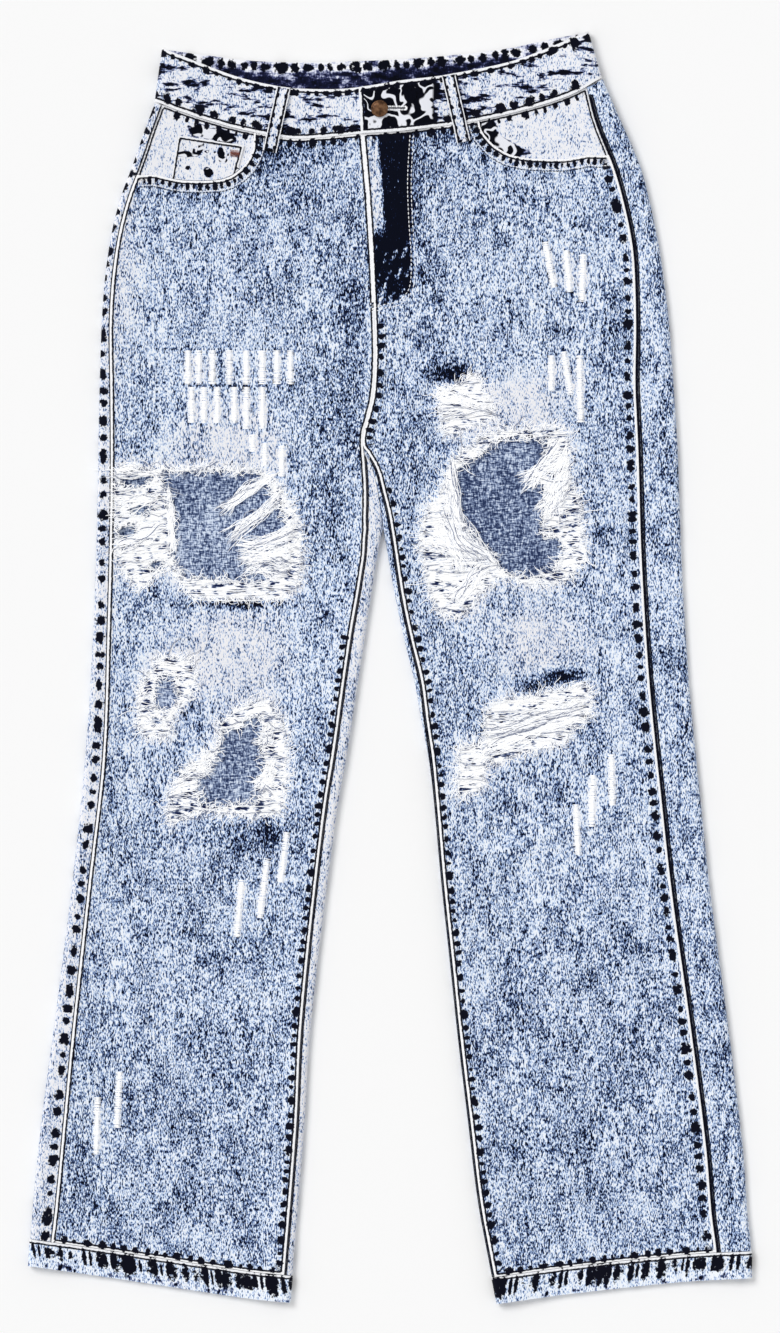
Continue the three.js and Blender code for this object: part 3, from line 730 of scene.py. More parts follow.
def bronzeMaterial():
    material, n, surface = startMaterial("agedBronze", 0.38, 0.0)
    surface["Metallic"].default_value = 0.55
    patina = n.noise(n.spot(), 260.0, detail=4.0, roughness=0.5)
    shade = n.ramp(patina, [(0.3, srgb(52, 36, 27)), (0.5, srgb(104, 74, 53)), (0.72, srgb(142, 108, 80))])
    n.tree.links.new(shade, surface["Base Color"])
    n.tree.links.new(n.calc("MULTIPLY_ADD", patina, 0.3, 0.25), surface["Roughness"])
    return material


finishes = {
    # front: a white seam rim, a worn edge partly painted as a highlight; back: a navy seam rim, painted
    # shadow beside the front's edge
    "front": denimMaterial("denimFront", 1.5, srgb(252, 252, 254)),
    "back": denimMaterial("denimBack", 0.9, navy, toneShift=0.05),
    "inside": insideMaterial("denimInside"),
    "bandInside": insideMaterial("bandInside", deep=True),
    "band": paleMaterial("bandDenim", 0.445, (62, 180, 60), 1.0, rim=1.8, ground=1.0, blush=0.5),
    "facing": paleMaterial("facingDenim", 0.33, (60, 110, 60), 5.0, ground=1.15, blush=0.55),
    "hem": paleMaterial("hemDenim", 0.36, (150, 90, 60), 9.0, rim=1.6, ground=0.75),
    "loop": paleMaterial("loopDenim", 0.30, (90, 90, 60), 14.0, rim=0.7, ground=1.0, blush=0.5),
    "threads": threadMaterial("looseThreads", srgb(244, 246, 250), srgb(255, 255, 255), glow=0.25),
    "stitchDark": threadMaterial("darkStitch", navy, srgb(30, 36, 60)),
    "stitchPale": threadMaterial("paleStitch", srgb(238, 240, 246), srgb(252, 252, 254), glow=0.2),
    "tack": threadMaterial("tackStitch", srgb(112, 52, 42), srgb(152, 86, 70)),
    "bronze": bronzeMaterial(),
}
print("finishes made")


# ---- tears ----
# clear: holes right through the front, as outlines; they lie within the torn outline of the construction.
tears = {
    "rightThigh": {
        "side": "right",
        "stands": ["threads_right_thigh_outer", "threads_right_thigh_inner"],
        "torn": [
            (-224, 164), (-190, 163), (-150, 164), (-106, 160), (-82, 135), (-74, 118), (-73, 78),
            (-83, 59), (-122, 57), (-161, 58), (-184, 84), (-204, 66), (-221, 84), (-225, 120)],
        "fans": [
            ((-92, 160), (-108, 152), (-138, 131), 10, 40), ((-88, 148), (-98, 128), (-132, 106), 15, 28),
            ((-79, 124), (-84, 78), (-122, 92), 26, 100), ((-82, 82), (-96, 71), (-116, 82), 8, 22),
            ((-182, 150), (-180, 128), (-178, 96), 4, 26), ((-224, 162), (-224, 157), (-188, 160), 3, 16),
            ((-222, 108), (-222, 92), (-188, 112), 10, 40), ((-220, 140), (-221, 126), (-190, 140), 9, 30)],
        "clear": [
            [(-187, 162), (-113, 162), (-103, 157), (-97, 146), (-90, 134), (-84, 118), (-86, 98),
             (-90, 80), (-104, 70), (-130, 71), (-163, 74), (-173, 81), (-180, 94), (-181, 136),
             (-188, 155)],
            [(-222, 161), (-208, 162), (-195, 161), (-196, 151), (-208, 148), (-221, 149)],
            [(-214, 136), (-198, 138), (-197, 128), (-205, 123), (-213, 126)],
            [(-223, 116), (-209, 119), (-207, 109), (-214, 97), (-223, 101)],
            [(-197, 88), (-186, 89), (-185, 80), (-195, 79)],
        ],
    },
    "rightKneeSmall": {
        "side": "right",
        "stands": ["threads_right_knee_small_lower"],
        "torn": [
            (-191, 8), (-164, 7), (-160, -7), (-164, -24), (-176, -36), (-182, -56), (-199, -57),
            (-206, -48), (-206, -15), (-196, -2)],
        "clear": [
            [(-190, -7), (-176, -4), (-176, -15), (-174, -25), (-183, -37), (-194, -30)],
            [(-197, -41), (-189, -40), (-188, -45), (-196, -46)],
        ],
    },
    "rightKnee": {
        "side": "right",
        "stands": ["threads_right_knee_inner", "threads_right_knee_outer"],
        "torn": [
            (-142, -47), (-119, -30), (-100, -28), (-88, -46), (-85, -70), (-86, -94), (-90, -117),
            (-110, -121), (-157, -118), (-178, -127), (-183, -112), (-171, -86), (-156, -74), (-141, -61)],
        "fans": [
            ((-98, -44), (-97, -64), (-109, -62), 14, 24), ((-95, -70), (-97, -106), (-110, -98), 18, 34),
            ((-176, -96), (-150, -60), (-147, -80), 14, 34)],
        "clear": [
            [(-140, -52), (-124, -49), (-118, -42), (-106, -40), (-104, -70), (-103, -98), (-112, -111),
             (-153, -112), (-158, -101), (-156, -86), (-142, -72)],
        ],
    },
    "leftHip": {
        "side": "left",
        "stands": ["threads_left_hip_whole"],
        "fans": [((40, 232), (42, 200), (82, 214), 16, 46)],
        "torn": [(38, 226), (56, 233), (70, 241), (80, 222), (85, 205), (65, 197), (46, 191), (40, 214)],
        "clear": [],
    },
    "leftThigh": {
        "side": "left",
        "stands": ["threads_left_thigh_inner", "threads_left_thigh_outer"],
        "torn": [
            (52, 169), (78, 192), (104, 195), (137, 196), (145, 185), (147, 155), (156, 136), (158, 105),
            (160, 91), (142, 72), (118, 68), (89, 73), (59, 44), (39, 47), (29, 77), (24, 104), (29, 128),
            (40, 144)],
        "fans": [
            ((136, 188), (146, 170), (110, 150), 12, 36), ((144, 186), (146, 140), (128, 126), 22, 60),
            ((48, 146), (34, 100), (64, 84), 22, 60), ((66, 120), (50, 96), (86, 88), 8, 40),
            ((52, 172), (44, 150), (56, 118), 10, 40), ((46, 60), (60, 52), (76, 84), 14, 40)],
        "clear": [
            [(91, 188), (110, 189), (129, 187), (126, 175), (125, 165), (112, 155), (125, 149), (126, 110),
             (137, 107), (141, 98), (139, 88), (125, 75), (101, 75), (91, 81), (84, 93), (68, 103),
             (57, 119), (51, 134), (51, 158), (64, 169)],
            [(56, 101), (62, 101), (62, 96), (56, 96)],
        ],
    },
    "leftKnee": {
        "side": "left",
        "stands": ["threads_left_knee_whole"],
        "fans": [((82, -40), (84, -72), (158, -34), 20, 60)],
        "torn": [
            (80, -33), (110, -23), (155, -14), (162, -16), (164, -38), (149, -51), (143, -61), (110, -70),
            (81, -77)],
        "clear": [],
    },
    "leftKneeSmall": {
        "side": "left",
        "stands": ["threads_left_knee_small_whole"],
        "torn": [(56, -70), (60, -64), (74, -63), (77, -72), (77, -97), (58, -105), (55, -98)],
        "clear": [],
    },
}
for order, tear in enumerate(tears.values()):
    tear["tornLine"] = outlinePoints(tear["torn"], wobble=0.7, seed=order)
    tear["clearLines"] = [
        outlinePoints(c, wobble=0.8, seed=20 + 7 * order + k) for k, c in enumerate(tear["clear"])]


# ---- scratched bars: short ladders of bared weft, each from its top to its bottom ----
bars = {
    "width": 6.0,
    "pitch": 0.8,
    "radius": 0.5,
    "right": [
        *[((x, 260), (x, 232)) for x in (-166, -157, -146, -132, -118, -105, -93, -82)],
        *[((x, 230), (x, low)) for x, low in (
            (-163, 201), (-153, 201), (-142, 201), (-128, 201), (-118, 196), (-105, 196))],
        ((-113, 191), (-113, 177)), ((-103, 184), (-103, 165)), ((-89, 182), (-89, 157)),
        ((-85, -135), (-90, -176)), ((-101, -157), (-107, -205)), ((-122, -174), (-126, -221)),
        ((-240, -352), (-241, -399)), ((-222, -331), (-224, -377)),
    ],
    "left": [
        ((127, 349), (134, 312)), ((144, 342), (147, 308)), ((158, 339), (157, 300)),
        ((132, 256), (132, 227)), ((142, 259), (148, 224)), ((155, 256), (156, 201)),
        ((152, -112), (154, -153)), ((166, -88), (165, -130)), ((181, -71), (182, -113))],
}


# ---- fronts ----
fronts = {
    "rowStep": 2.5,
    "columns": 84,
    "edgeShare": 0.055,
    "pocketMouth": {
        "right": [
            (-112, 460), (-112, 437), (-113, 424), (-119, 413), (-129, 404), (-140, 400), (-157, 399),
            (-175, 400), (-192, 404), (-206, 408)],
        "left": [
            (73, 470), (73, 446), (76, 438), (85, 428), (97, 421), (110, 418), (126, 417), (143, 417),
            (160, 420), (178, 424)],
    },
    # x, y, half width, half height, amount: bleached areas, or darker ones where it is negative; the dark
    # spots just under or above the tears, at (-132, 53), (-108, -136), (118, -15), (141, -7) and (52, 241),
    # are painted shadow of the torn edges
    "washAndShadowSpots": [
        (-24, 350, 9, 70, -0.45), (-30, 250, 12, 60, -0.3), (-104, 424, 14, 12, -0.75),
        (-72, 428, 26, 7, -0.45), (56, 436, 22, 8, -0.6), (186, 300, 16, 110, -0.12),
        (206, 200, 14, 90, -0.15), (-200, 310, 60, 70, 0.1), (-218, 320, 16, 90, 0.4),
        (-132, 184, 58, 24, 0.85), (-128, 12, 48, 42, 0.95), (-205, 60, 40, 40, 0.2),
        (110, 218, 36, 26, 0.8), (116, 20, 54, 38, 0.75), (150, 330, 60, 50, 0.18),
        (-60, 250, 26, 60, -0.12), (-52, 150, 24, 80, -0.42), (64, -18, 32, 46, -0.32),
        (100, -240, 26, 60, -0.14), (160, -330, 30, 90, -0.12), (-150, -330, 60, 110, -0.06),
        (-108, -136, 22, 16, -1.3), (-132, 53, 42, 4, -2.6), (-205, 62, 20, 6, -0.5),
        (52, 241, 17, 8, -2.2), (118, -15, 10, 5, -2.4), (141, -7, 16, 5, -2.8),
        (-200, -250, 34, 60, 0.10), (110, -180, 60, 50, 0.12), (-70, 395, 14, 45, -0.1),
        (-30, 300, 12, 60, -0.2), (30, 360, 16, 60, -0.06), (24, 170, 18, 60, -0.3)],
}


def frontInner(side, y):
    leg = legs[side]
    low = np.minimum(y, inseamTop)
    inset = leg["inseam"](low)
    atInseam = foldOf(side, low) - leg["inward"] * (inset + seamClear(inset))
    under = (flyUnderlap + gap / 2) * smooth((y - flyBottom) / 8) if side == "right" else 0
    atCentre = centreFront(np.maximum(y, crotchY)) - leg["inward"] * gap / 2 + under
    return mix(atInseam, atCentre, np.clip((y - inseamTop) / (crotchY - inseamTop), 0, 1))


def frontStart(side, y):
    leg = legs[side]
    return leg["outer"](y) + leg["inward"] * (leg["outseam"](y) + seamClear(leg["outseam"](y)))


def closedPocket(side, shift):
    inward = legs[side]["inward"]
    line = [(x + inward * shift, y - shift) for x, y in fronts["pocketMouth"][side]]
    far = line[-1]
    corner = [(far[0] - inward * 60, far[1] + 10), (far[0] - inward * 60, 540), (line[0][0], 540)]
    smoothed = outlinePoints(line, step=1.5)
    cut = nearestOn(np.array([line[-1]]), smoothed)[1][0]
    lengths = runOf(smoothed)
    return np.vstack([smoothed[lengths <= cut], corner])


def mouthLine(side):
    return closedPocket(side, 0)[:-3]


def dabRow(line, start, stop, pitch, dab, darkening=0.0):
    # a seam: its line, where its dabs start and stop in mm from it, their pitch, and how strong the dabs and
    # the dark line are; the dark line is painted shadow beside the seam's rim
    return {"line": line, "start": start, "stop": stop, "pitch": pitch, "dab": dab, "darkening": darkening}


def frontSeams(side):
    right = side == "right"
    ys = np.arange(-506, 486, 6.0)
    top = bandBottomFront(frontStart(side, np.array([470.0])))[0]
    ys = ys[ys < top]
    outseam = np.stack([frontStart(side, ys), ys], -1)
    ys = np.arange(-520, 441, 6.0)
    inseam, centre = frontInner(side, np.minimum(ys, crotchY)), centreFront(np.maximum(ys, crotchY))
    inner = np.stack([np.where(ys < crotchY, inseam, centre), ys], -1)
    xs = np.linspace(-192, -20, 40) if right else np.linspace(-24, 172, 44)
    waist = np.stack([xs, bandBottomFront(xs)], -1)
    hemXs = np.linspace(-300, -75, 40) if right else np.linspace(75, 300, 40)
    hemTop = np.stack([hemXs, legs[side]["hem"](hemXs) + hemDepth], -1)

    def outerDab(x, y):
        return 0.0 if right else smooth((440 - y) / 20)

    def innerDab(x, y):
        if right:
            return smooth((40 - y) / 20)
        return np.maximum(smooth((160 - y) / 20), smooth((y - inseamTop) / 10) * smooth((288 - y) / 10))
    return [
        dabRow(outseam, 3.0, 10.0, 12.6, outerDab, float(right)),
        dabRow(inner, 2.2, 8.0, 9.4, innerDab, 1.0),
        dabRow(waist, 1.0, 7.5, 8.6, lambda x, y: 0.9, 1.0),
        dabRow(mouthLine(side), 1.6, 7.8, 5.4, lambda x, y: 1.15, 1.0),
        dabRow(hemTop, 0.8, 6.4, 9.5, lambda x, y: 1.0, 1.0),
    ]


def seamValues(xy, rows, covered=None):
    # what the seam marks need at each point, from its nearest seam
    values = {"edge": np.full(len(xy), 99.0), "along": np.zeros(len(xy)), "across": np.full(len(xy), 9.0),
              "dab": np.zeros(len(xy)), "line": np.zeros(len(xy))}
    for row in rows:
        d, run, _ = nearestOn(xy, row["line"])
        here = d < values["edge"]
        if covered is not None:
            here &= ~covered
        values["edge"][here] = d[here]
        along = run / row["pitch"] + 0.22 * np.sin(run * 0.061) + 0.16 * np.sin(run * 0.173)
        values["along"][here] = along[here]
        values["across"][here] = ((d - row["start"]) / (row["stop"] - row["start"]))[here]
        values["dab"][here] = (row["dab"](xy[:, 0], xy[:, 1]) * np.ones(len(xy)))[here]
        values["line"][here] = row["darkening"]
    return values


def makeFront(side):
    # columns stand closer near the seams
    nearEdge = np.linspace(0, fronts["edgeShare"], 7)
    middle = np.linspace(fronts["edgeShare"], 1 - fronts["edgeShare"], fronts["columns"] - 12)
    shares = np.concatenate([nearEdge, middle[1:-1], 1 - nearEdge[::-1]])
    rows = np.linspace(lowestRow, waistY, int((waistY - lowestRow) / fronts["rowStep"]) + 1)

    def start(y):
        return frontStart(side, y)

    def reach(y):
        return frontInner(side, y) - start(y)

    def top(x):
        return bandBottomFront(x) - gap
    across = columns("over", start, reach, shares)
    points = np.stack([place(side, rows, c, top, fly=side == "left") for c in across], 1)
    if side == "left":
        points = points[:, ::-1]
    sheet = gridSheet(f"frontPanel_{side}", points)
    trim(sheet, closedPocket(side, 0), 2.4)
    for tear in tears.values():
        if tear["side"] == side:
            for line in tear["clearLines"]:
                trim(sheet, line, 2.5)
    co = coords(sheet)
    # what was drawn onto the pocket mouth's outline stays between the side seam and the band
    inward = legs[side]["inward"]
    atSeam = start(co[:, 1])
    co[:, 0] = atSeam + inward * np.maximum((co[:, 0] - atSeam) * inward, 0)
    co[:, 1] = np.minimum(co[:, 1], top(co[:, 0]))
    x, y = co[:, 0], co[:, 1]
    seams = frontSeams(side)
    marks = seamValues(co[:, :2], seams)
    edge = marks["edge"]
    tone = np.zeros(len(co))
    # the wash's bleach and navy, and painted shadow along the tears' edges
    for cx, cy, w, h, amount in fronts["washAndShadowSpots"]:
        tone += amount * bell((x - cx) / w, (y - cy) / h)
    tone -= 0.07 * smooth((-180 - y) / 200)
    tone += 0.35 * bell(edge / 7) * smooth((445 - y) / 10)
    mouth, run, _ = nearestOn(co[:, :2], seams[3]["line"])
    streaks = np.sin(run * 2 * np.pi / 16) + 0.6 * np.sin(run * 2 * np.pi / 7.3)
    tone += 0.5 * bell(mouth / 8)
    tone -= 1.5 * bell((mouth - 12.5) / 3.0) * smooth(streaks)
    waist, run, _ = nearestOn(co[:, :2], seams[2]["line"])
    streaks = np.sin(run * 2 * np.pi / 19) + 0.7 * np.sin(run * 2 * np.pi / 8.1 + 1)
    tone -= (0.5 * smooth(streaks) + 0.12) * bell(waist / 15)
    fray = np.zeros(len(co))
    for tear in tears.values():
        if tear["side"] != side:
            continue
        d, _, _ = nearestOn(co[:, :2], tear["tornLine"], closed=True)
        inside = insideOf(x, y, tear["tornLine"])
        fray = np.maximum(fray, np.where(inside, smooth(d / 2.0 + 0.35), 0))
        tone += np.where(inside, 0, 0.4 * bell(d / 8))
    for bar in bars[side]:
        d, _ = alongSegment(x, y, *bar)
        tone += 0.7 * bell(d / 4.5)
        for end in bar:
            tone -= 1.5 * bell((x - end[0]) / 3.4, (y - end[1]) / 3.0)
    tone += flyTone(x, y) if side == "left" else crotchTone(x, y)
    co[:, 2] += 0.5 * bell((edge - 2.0) / 1.6)
    pucker = np.sin(marks["along"] * 2 * np.pi) * bell((edge - 6) / 4)
    co[:, 2] += 0.22 * pucker + np.where(fray > 0.5, -0.25, 0)
    setCoords(sheet, co)
    mark(sheet, tone=tone, fray=fray, **marks)
    walled(sheet, cloth, "front", "denim", f"front_{side}")


def flyTone(x, y):
    # the fly keeps its navy: a dark stripe inside the J of stitches, and blotches below it
    cf = centreFront(y)
    jEdge = np.where(y > 308, 19, 19 - 34 * (1 - np.clip((y - 293) / 15, 0, 1)))
    within = smooth((x - cf + 1) / 3) * smooth((jEdge - x) / 4) * smooth((y - 286) / 8)
    patch = smooth((y - 350) / 12) * (1 - smooth((x - cf - 10.5) / 4))
    dots = 0.55 * np.sin(x * 0.9 + y * 0.21) * np.sin(y * 0.42 + 1)
    beyond = -0.45 * bell((x - 22) / 9) * smooth((y - 300) / 20)
    seam = -0.5 * bell((x - cf) / 5) * smooth((y - 250) / 20)
    scratches = 2.3 * smooth((np.sin(x * 1.1 + y * 0.24) * np.sin(y * 0.47 + x * 0.3) - 0.55) / 0.2)
    scratches = scratches * smooth((352 - y) / 6) + 1.6 * bell((x - cf - 7) / 6, (y - 303) / 9)
    return within * mix(-3.0 + 1.4 * scratches, 0.5 + dots, patch) + (1 - within) * (beyond + seam)


def crotchTone(x, y):
    # the pinched corner where the four panels meet
    dx, dy = x + 22, y - 184
    r = np.hypot(dx, dy)
    rays = smooth(np.sin(np.arctan2(dy, dx) * 9) * 2.5)
    return (-1.9 * rays + 0.5) * bell((r - 9) / 6.5) * smooth((dy * 0.4 - dx + 6) / 8)


for side in bothSides:
    makeFront(side)
print("fronts made")


# ---- backs and yokes ----
# seen through the tears: lighter or darker areas of the inside, as in the spots on the front
wornSpots = [
    (98, 130, 60, 80, -0.13), (100, 176, 20, 16, 0.10), (-152, 112, 10, 24, 0.16),
    (-138, 150, 50, 14, -0.06), (-128, -80, 40, 40, -0.03)]


def backColumns(side):
    leg = legs[side]
    inward = leg["inward"]

    def far(y):
        return np.where(y <= apexY, foldOf(side, y), centreBack(y) - inward * apexClear(y))

    def seamSide(y):
        return inward * (leg["outseam"](y) - seamClear(leg["outseam"](y)))

    def seamInner(y):
        return -inward * (leg["inseam"](y) - seamClear(leg["inseam"](y)))

    def turnIn(y):
        return inward * foldRadius

    def turnOut(y):
        return -inward * foldRadius

    def flatStart(y):
        return leg["outer"](y) + turnIn(y)

    def flatReach(y):
        return far(y) - inward * foldRadius - flatStart(y)
    turning = (0.03, 0.1, 0.25, 0.5, 0.75, 1)
    body = columns(
        "over", leg["outer"], seamSide, (1, 0.93, 0.85, 0.72, 0.58, 0.45, 0.32, 0.2, 0.12, 0.06, 0.02, 0))
    body += columns("under", leg["outer"], turnIn, turning)
    body += columns("under", flatStart, flatReach, np.linspace(0, 1, 42)[1:-1])
    body += columns("under", far, turnOut, (*turning[::-1], 0))
    tongue = columns(
        "over", lambda y: foldOf(side, y), seamInner, (0, 0.03, 0.1, 0.2, 0.35, 0.5, 0.7, 0.85, 1))
    return body, tongue


def outerSheet(side, name, rows, top, strips):
    points = np.stack([place(side, rows, c, top) for c in strips], 1)
    if side == "right":
        points = points[:, ::-1]
    return gridSheet(name, points)


def stripMarks(sheet, side):
    # seam marks of the strip that shows beside the front, and of the seams on the underside
    co = coords(sheet)
    ys = np.arange(-500, 470, 6.0)
    outseam = np.stack([frontStart(side, ys), ys], -1)
    ys = ys[ys < inseamTop]
    inseam = np.stack([frontInner(side, ys), ys], -1)
    right = side == "right"
    rows = [
        dabRow(outseam, 2.6, 9.6, 14.5, lambda x, y: 1.0 if right else 0.0, 0.0 if right else 1.0),
        dabRow(inseam, 2.0, 6.0, 9.0, lambda x, y: 0.0, 1.0),
    ]
    under = co[:, 2] < 2.2 + loopLift(co[:, 1])
    marks = seamValues(co[:, :2], rows, under)
    tone = np.where(under, 0.04, 0.6 if right else -0.08) + 0.2 * bell((marks["edge"] - 6) / 5)
    ys = np.arange(apexY, 466, 6.0)
    xs = np.linspace(-230, 200, 70)
    backRows = [
        dabRow(np.stack([centreBack(ys), ys], -1), 2.4, 8.0, 9.4, lambda x, y: 1.0, 1.0),
        dabRow(np.stack([xs, yokeSeam(xs)], -1), 2.4, 8.0, 9.4, lambda x, y: 1.0, 1.0),
    ]
    hidden = seamValues(co[:, :2], backRows, ~under)
    if not right:
        fromSeam = nearestOn(co[:, :2], outseam)[0]
        marks["edge"] = np.where(fromSeam < 12, np.maximum(fromSeam - 1.5, 0), marks["edge"])
    for name in marks:
        marks[name] = np.where(under, hidden[name], marks[name])
    worn = np.zeros(len(co))
    for cx, cy, w, h, amount in wornSpots:
        worn += amount * bell((co[:, 0] - cx) / w, (co[:, 1] - cy) / h)
    mark(sheet, tone=tone, worn=worn, fray=0.0, **marks)


def makeBack(side):
    under, tongue = backColumns(side)
    legRows = np.linspace(lowestRow, apexY, 166)
    rowsAll = np.unique(np.r_[legRows, np.linspace(apexY, waistY, 96)])
    rowsTongue = np.unique(np.r_[legRows, np.linspace(apexY, inseamTop, 18)])

    def top(x):
        return yokeSeam(x) - gap / 2
    a = outerSheet(side, "backA", rowsAll, top, under)
    b = outerSheet(side, "backB", rowsTongue, top, tongue)
    sheet = mergePoints(joined(f"backPanel_{side}", a, b))
    stripMarks(sheet, side)
    walled(sheet, cloth, "back", "denim_back", f"back_{side}")


def makeYoke(side):
    under, _ = backColumns(side)
    shares = np.linspace(0, 1, 22)
    points = []
    for c in under:
        y = np.full(len(shares), 440.0)
        for _ in range(6):
            x = c["x"](y)
            clear = 2 * gap + 1.1 * smooth((np.abs(x) - 145) / 12)
            y = mix(yokeSeam(x) + gap / 2, bandBottomBack(x) - clear, shares)
        z, _ = heights(side, x, y)
        points.append(np.stack([x, y, z[c["layer"]]], -1))
    points = np.stack(points, 1)
    if side == "right":
        points = points[:, ::-1]
    sheet = gridSheet(f"yoke_{side}_denim", points)
    stripMarks(sheet, side)
    walled(sheet, cloth, "back", "denim_back", f"yoke_{side}")


for side in bothSides:
    makeBack(side)
    makeYoke(side)
print("backs and yokes made")


# ---- pocket facings and the coin pocket ----
coinPocket = {"corners": [(-174, 436), (-120, 428), (-128, 399), (-180, 399)], "band": 8, "thick": 1.2,
              "blots": [
                  (-155.5, 429, 2.2, 4.5), (-139, 421.5, 2.4, 4.5), (-166, 421, 9, 2.4), (-166, 410, 2, 2),
                  (-149, 406, 4, 3.6), (-137, 416, 3, 2.4)]}


def overSheet(side, name, left, right, bottom, top, step, dz):
    xs = np.arange(left, right + step, step)
    ys = np.arange(bottom, top + step, step)
    x, y = np.meshgrid(xs, ys)
    z, _ = heights(side, x, y)
    return gridSheet(name, np.stack([x, y, z["over"] + dz], -1))


def makeFacing(side):
    left, right = (-215, -96) if side == "right" else (57, 186)
    bottom, top = (383, 466) if side == "right" else (400, 484)
    sheet = overSheet(side, f"pocketFacing_{side}_denim", left, right, bottom, top, 2.0, -layer)
    ys = np.linspace(372, 500, 60)
    start = frontStart(side, ys)
    inward = legs[side]["inward"]
    xs = np.linspace(-230, -80, 70) if side == "right" else np.linspace(50, 200, 70)
    waist = np.stack([xs, bandBottomFront(xs) - gap], -1)
    far = np.array([[start[0], ys[0]], [start[0] + inward * 140, ys[0]]])
    atSeam = np.stack([start, ys], -1)
    if side == "right":
        keepLine = [atSeam[ys < 462][::-1], far, [[-60, 420]], waist[waist[:, 0] > -192][::-1]]
    else:
        keepLine = [atSeam[ys < 474][::-1], far, [[30, 420]], waist[waist[:, 0] < 168]]
    keepLine = np.vstack(keepLine)
    trim(sheet, keepLine, 2.0, keepInside=True)
    trim(sheet, closedPocket(side, 14), 2.0, keepInside=True)
    co = coords(sheet)
    x, y = co[:, 0], co[:, 1]
    rows = [dabRow(atSeam, 1.6, 6.0, 8.0, lambda x, y: 0.0, 1.0),
            dabRow(waist, 1.2, 7.0, 9.0, lambda x, y: 0.8, 1.0)]
    marks = seamValues(co[:, :2], rows)
    tone = 0.25 * np.ones(len(co))
    if side == "right":
        tone -= 2.2 * np.exp(-(((x + 148) / 19) ** 4) - ((y - 438.5 + 0.2 * (x + 148)) / 5.0) ** 2)
    else:
        d, _, _ = nearestOn(co[:, :2], mouthLine(side))
        tone -= 1.9 * bell((d - 4) / 6) * smooth((126 - x) / 30)
        tone -= 0.9 * bell((x - 84) / 8, (y - 452) / 12)
    mark(sheet, tone=tone, **marks)
    walled(sheet, cloth, "facing", "denim_pale", f"pocket_facing_{side}")


def makeCoinPocket():
    a, b, c, d = [np.array(p, float) for p in coinPocket["corners"]]
    u, v = np.meshgrid(np.linspace(0, 1, 30), np.linspace(0, 1, 27))
    u, v = u[..., None], v[..., None]
    xy = mix(mix(d, c, u), mix(a, b, u), v)
    x, y = xy[..., 0], xy[..., 1]
    z, _ = heights("right", x, y)
    z = z["over"]
    sheet = gridSheet("coinPocket_denim", np.stack([x, y, z], -1))
    trim(sheet, closedPocket("right", -0.6), 1.4, keepInside=True)
    co = coords(sheet)
    x, y = co[:, 0], co[:, 1]
    top = np.array([a, b])
    rows = [dabRow(top, 3.0, 9.0, 26.0, lambda x, y: 0.0, 1.0)]
    rows += [dabRow(np.array(pair), 1.5, 5.0, 7.0, lambda x, y: 0.0, 1.0) for pair in ((a, d), (b, c))]
    marks = seamValues(co[:, :2], rows)
    fromTop, along, _ = nearestOn(co[:, :2], top)
    co[:, 2] += 0.4 * bell((marks["edge"] - 1.6) / 1.2)
    co[:, 2] += 0.3 * smooth((coinPocket["band"] - fromTop) / 1.5)
    setCoords(sheet, co)
    dashes = smooth(0.6 + np.sin(along * 2 * np.pi / 6))
    tone = 0.35 - 1.4 * dashes * bell((fromTop - coinPocket["band"] - 1.2) / 1.5)
    for cx, cy, w, h in coinPocket["blots"]:
        tone -= 2.4 * bell((x - cx) / w, (y - cy) / h)
    mark(sheet, tone=tone, **marks)
    walled(sheet, coinPocket["thick"], "facing", "denim_pale", "coin_pocket")


for side in bothSides:
    makeFacing(side)
makeCoinPocket()
print("pockets made")


# ---- waistband ----
# top and bottom: where its edges start and end; flat: how wide it lies, for the rise near its folds
band = {
    "top": (-186, 161),
    "bottom": (-192, 172),
    "overlapEnd": -24,
    "underlapEnd": 12,
    "rows": 17,
    "width": 38,
    "flat": 355,
}


def overlapRise(x):
    return 2.95 * (1 - smooth((x - 22) / 24))


def bandShare(x):
    return (x - band["bottom"][0]) / (band["bottom"][1] - band["bottom"][0])


def bandPoints(layerName, shares, across, rise):
    s, w = np.meshgrid(shares, across)
    xTop, xBottom = mix(*band["top"], s), mix(*band["bottom"], s)
    top, bottom = (bandTopFront, bandBottomFront) if layerName == "over" else (bandTopBack, bandBottomBack)
    x = mix(xBottom, xTop, w)
    y = mix(bottom(xBottom), top(xTop), w)
    width = mix(band["bottom"][1] - band["bottom"][0], band["top"][1] - band["top"][0], w)
    inset = np.minimum(s, 1 - s) * width
    turn = np.sqrt(1 - (1 - np.clip(inset / foldRadius, 0, 1)) ** 2)
    lift = loopLift(y)
    over = bandLevels["over"] + lift + foldRise * bell(inset / foldReach)
    under = bandLevels["under"] + lift
    fold = (bandLevels["under"] + bandLevels["over"] + foldRise) / 2 + lift
    z = mix(fold, over if layerName == "over" else under, turn)
    if rise:
        z = z + overlapRise(x)
    return np.stack([x, y, z], -1)


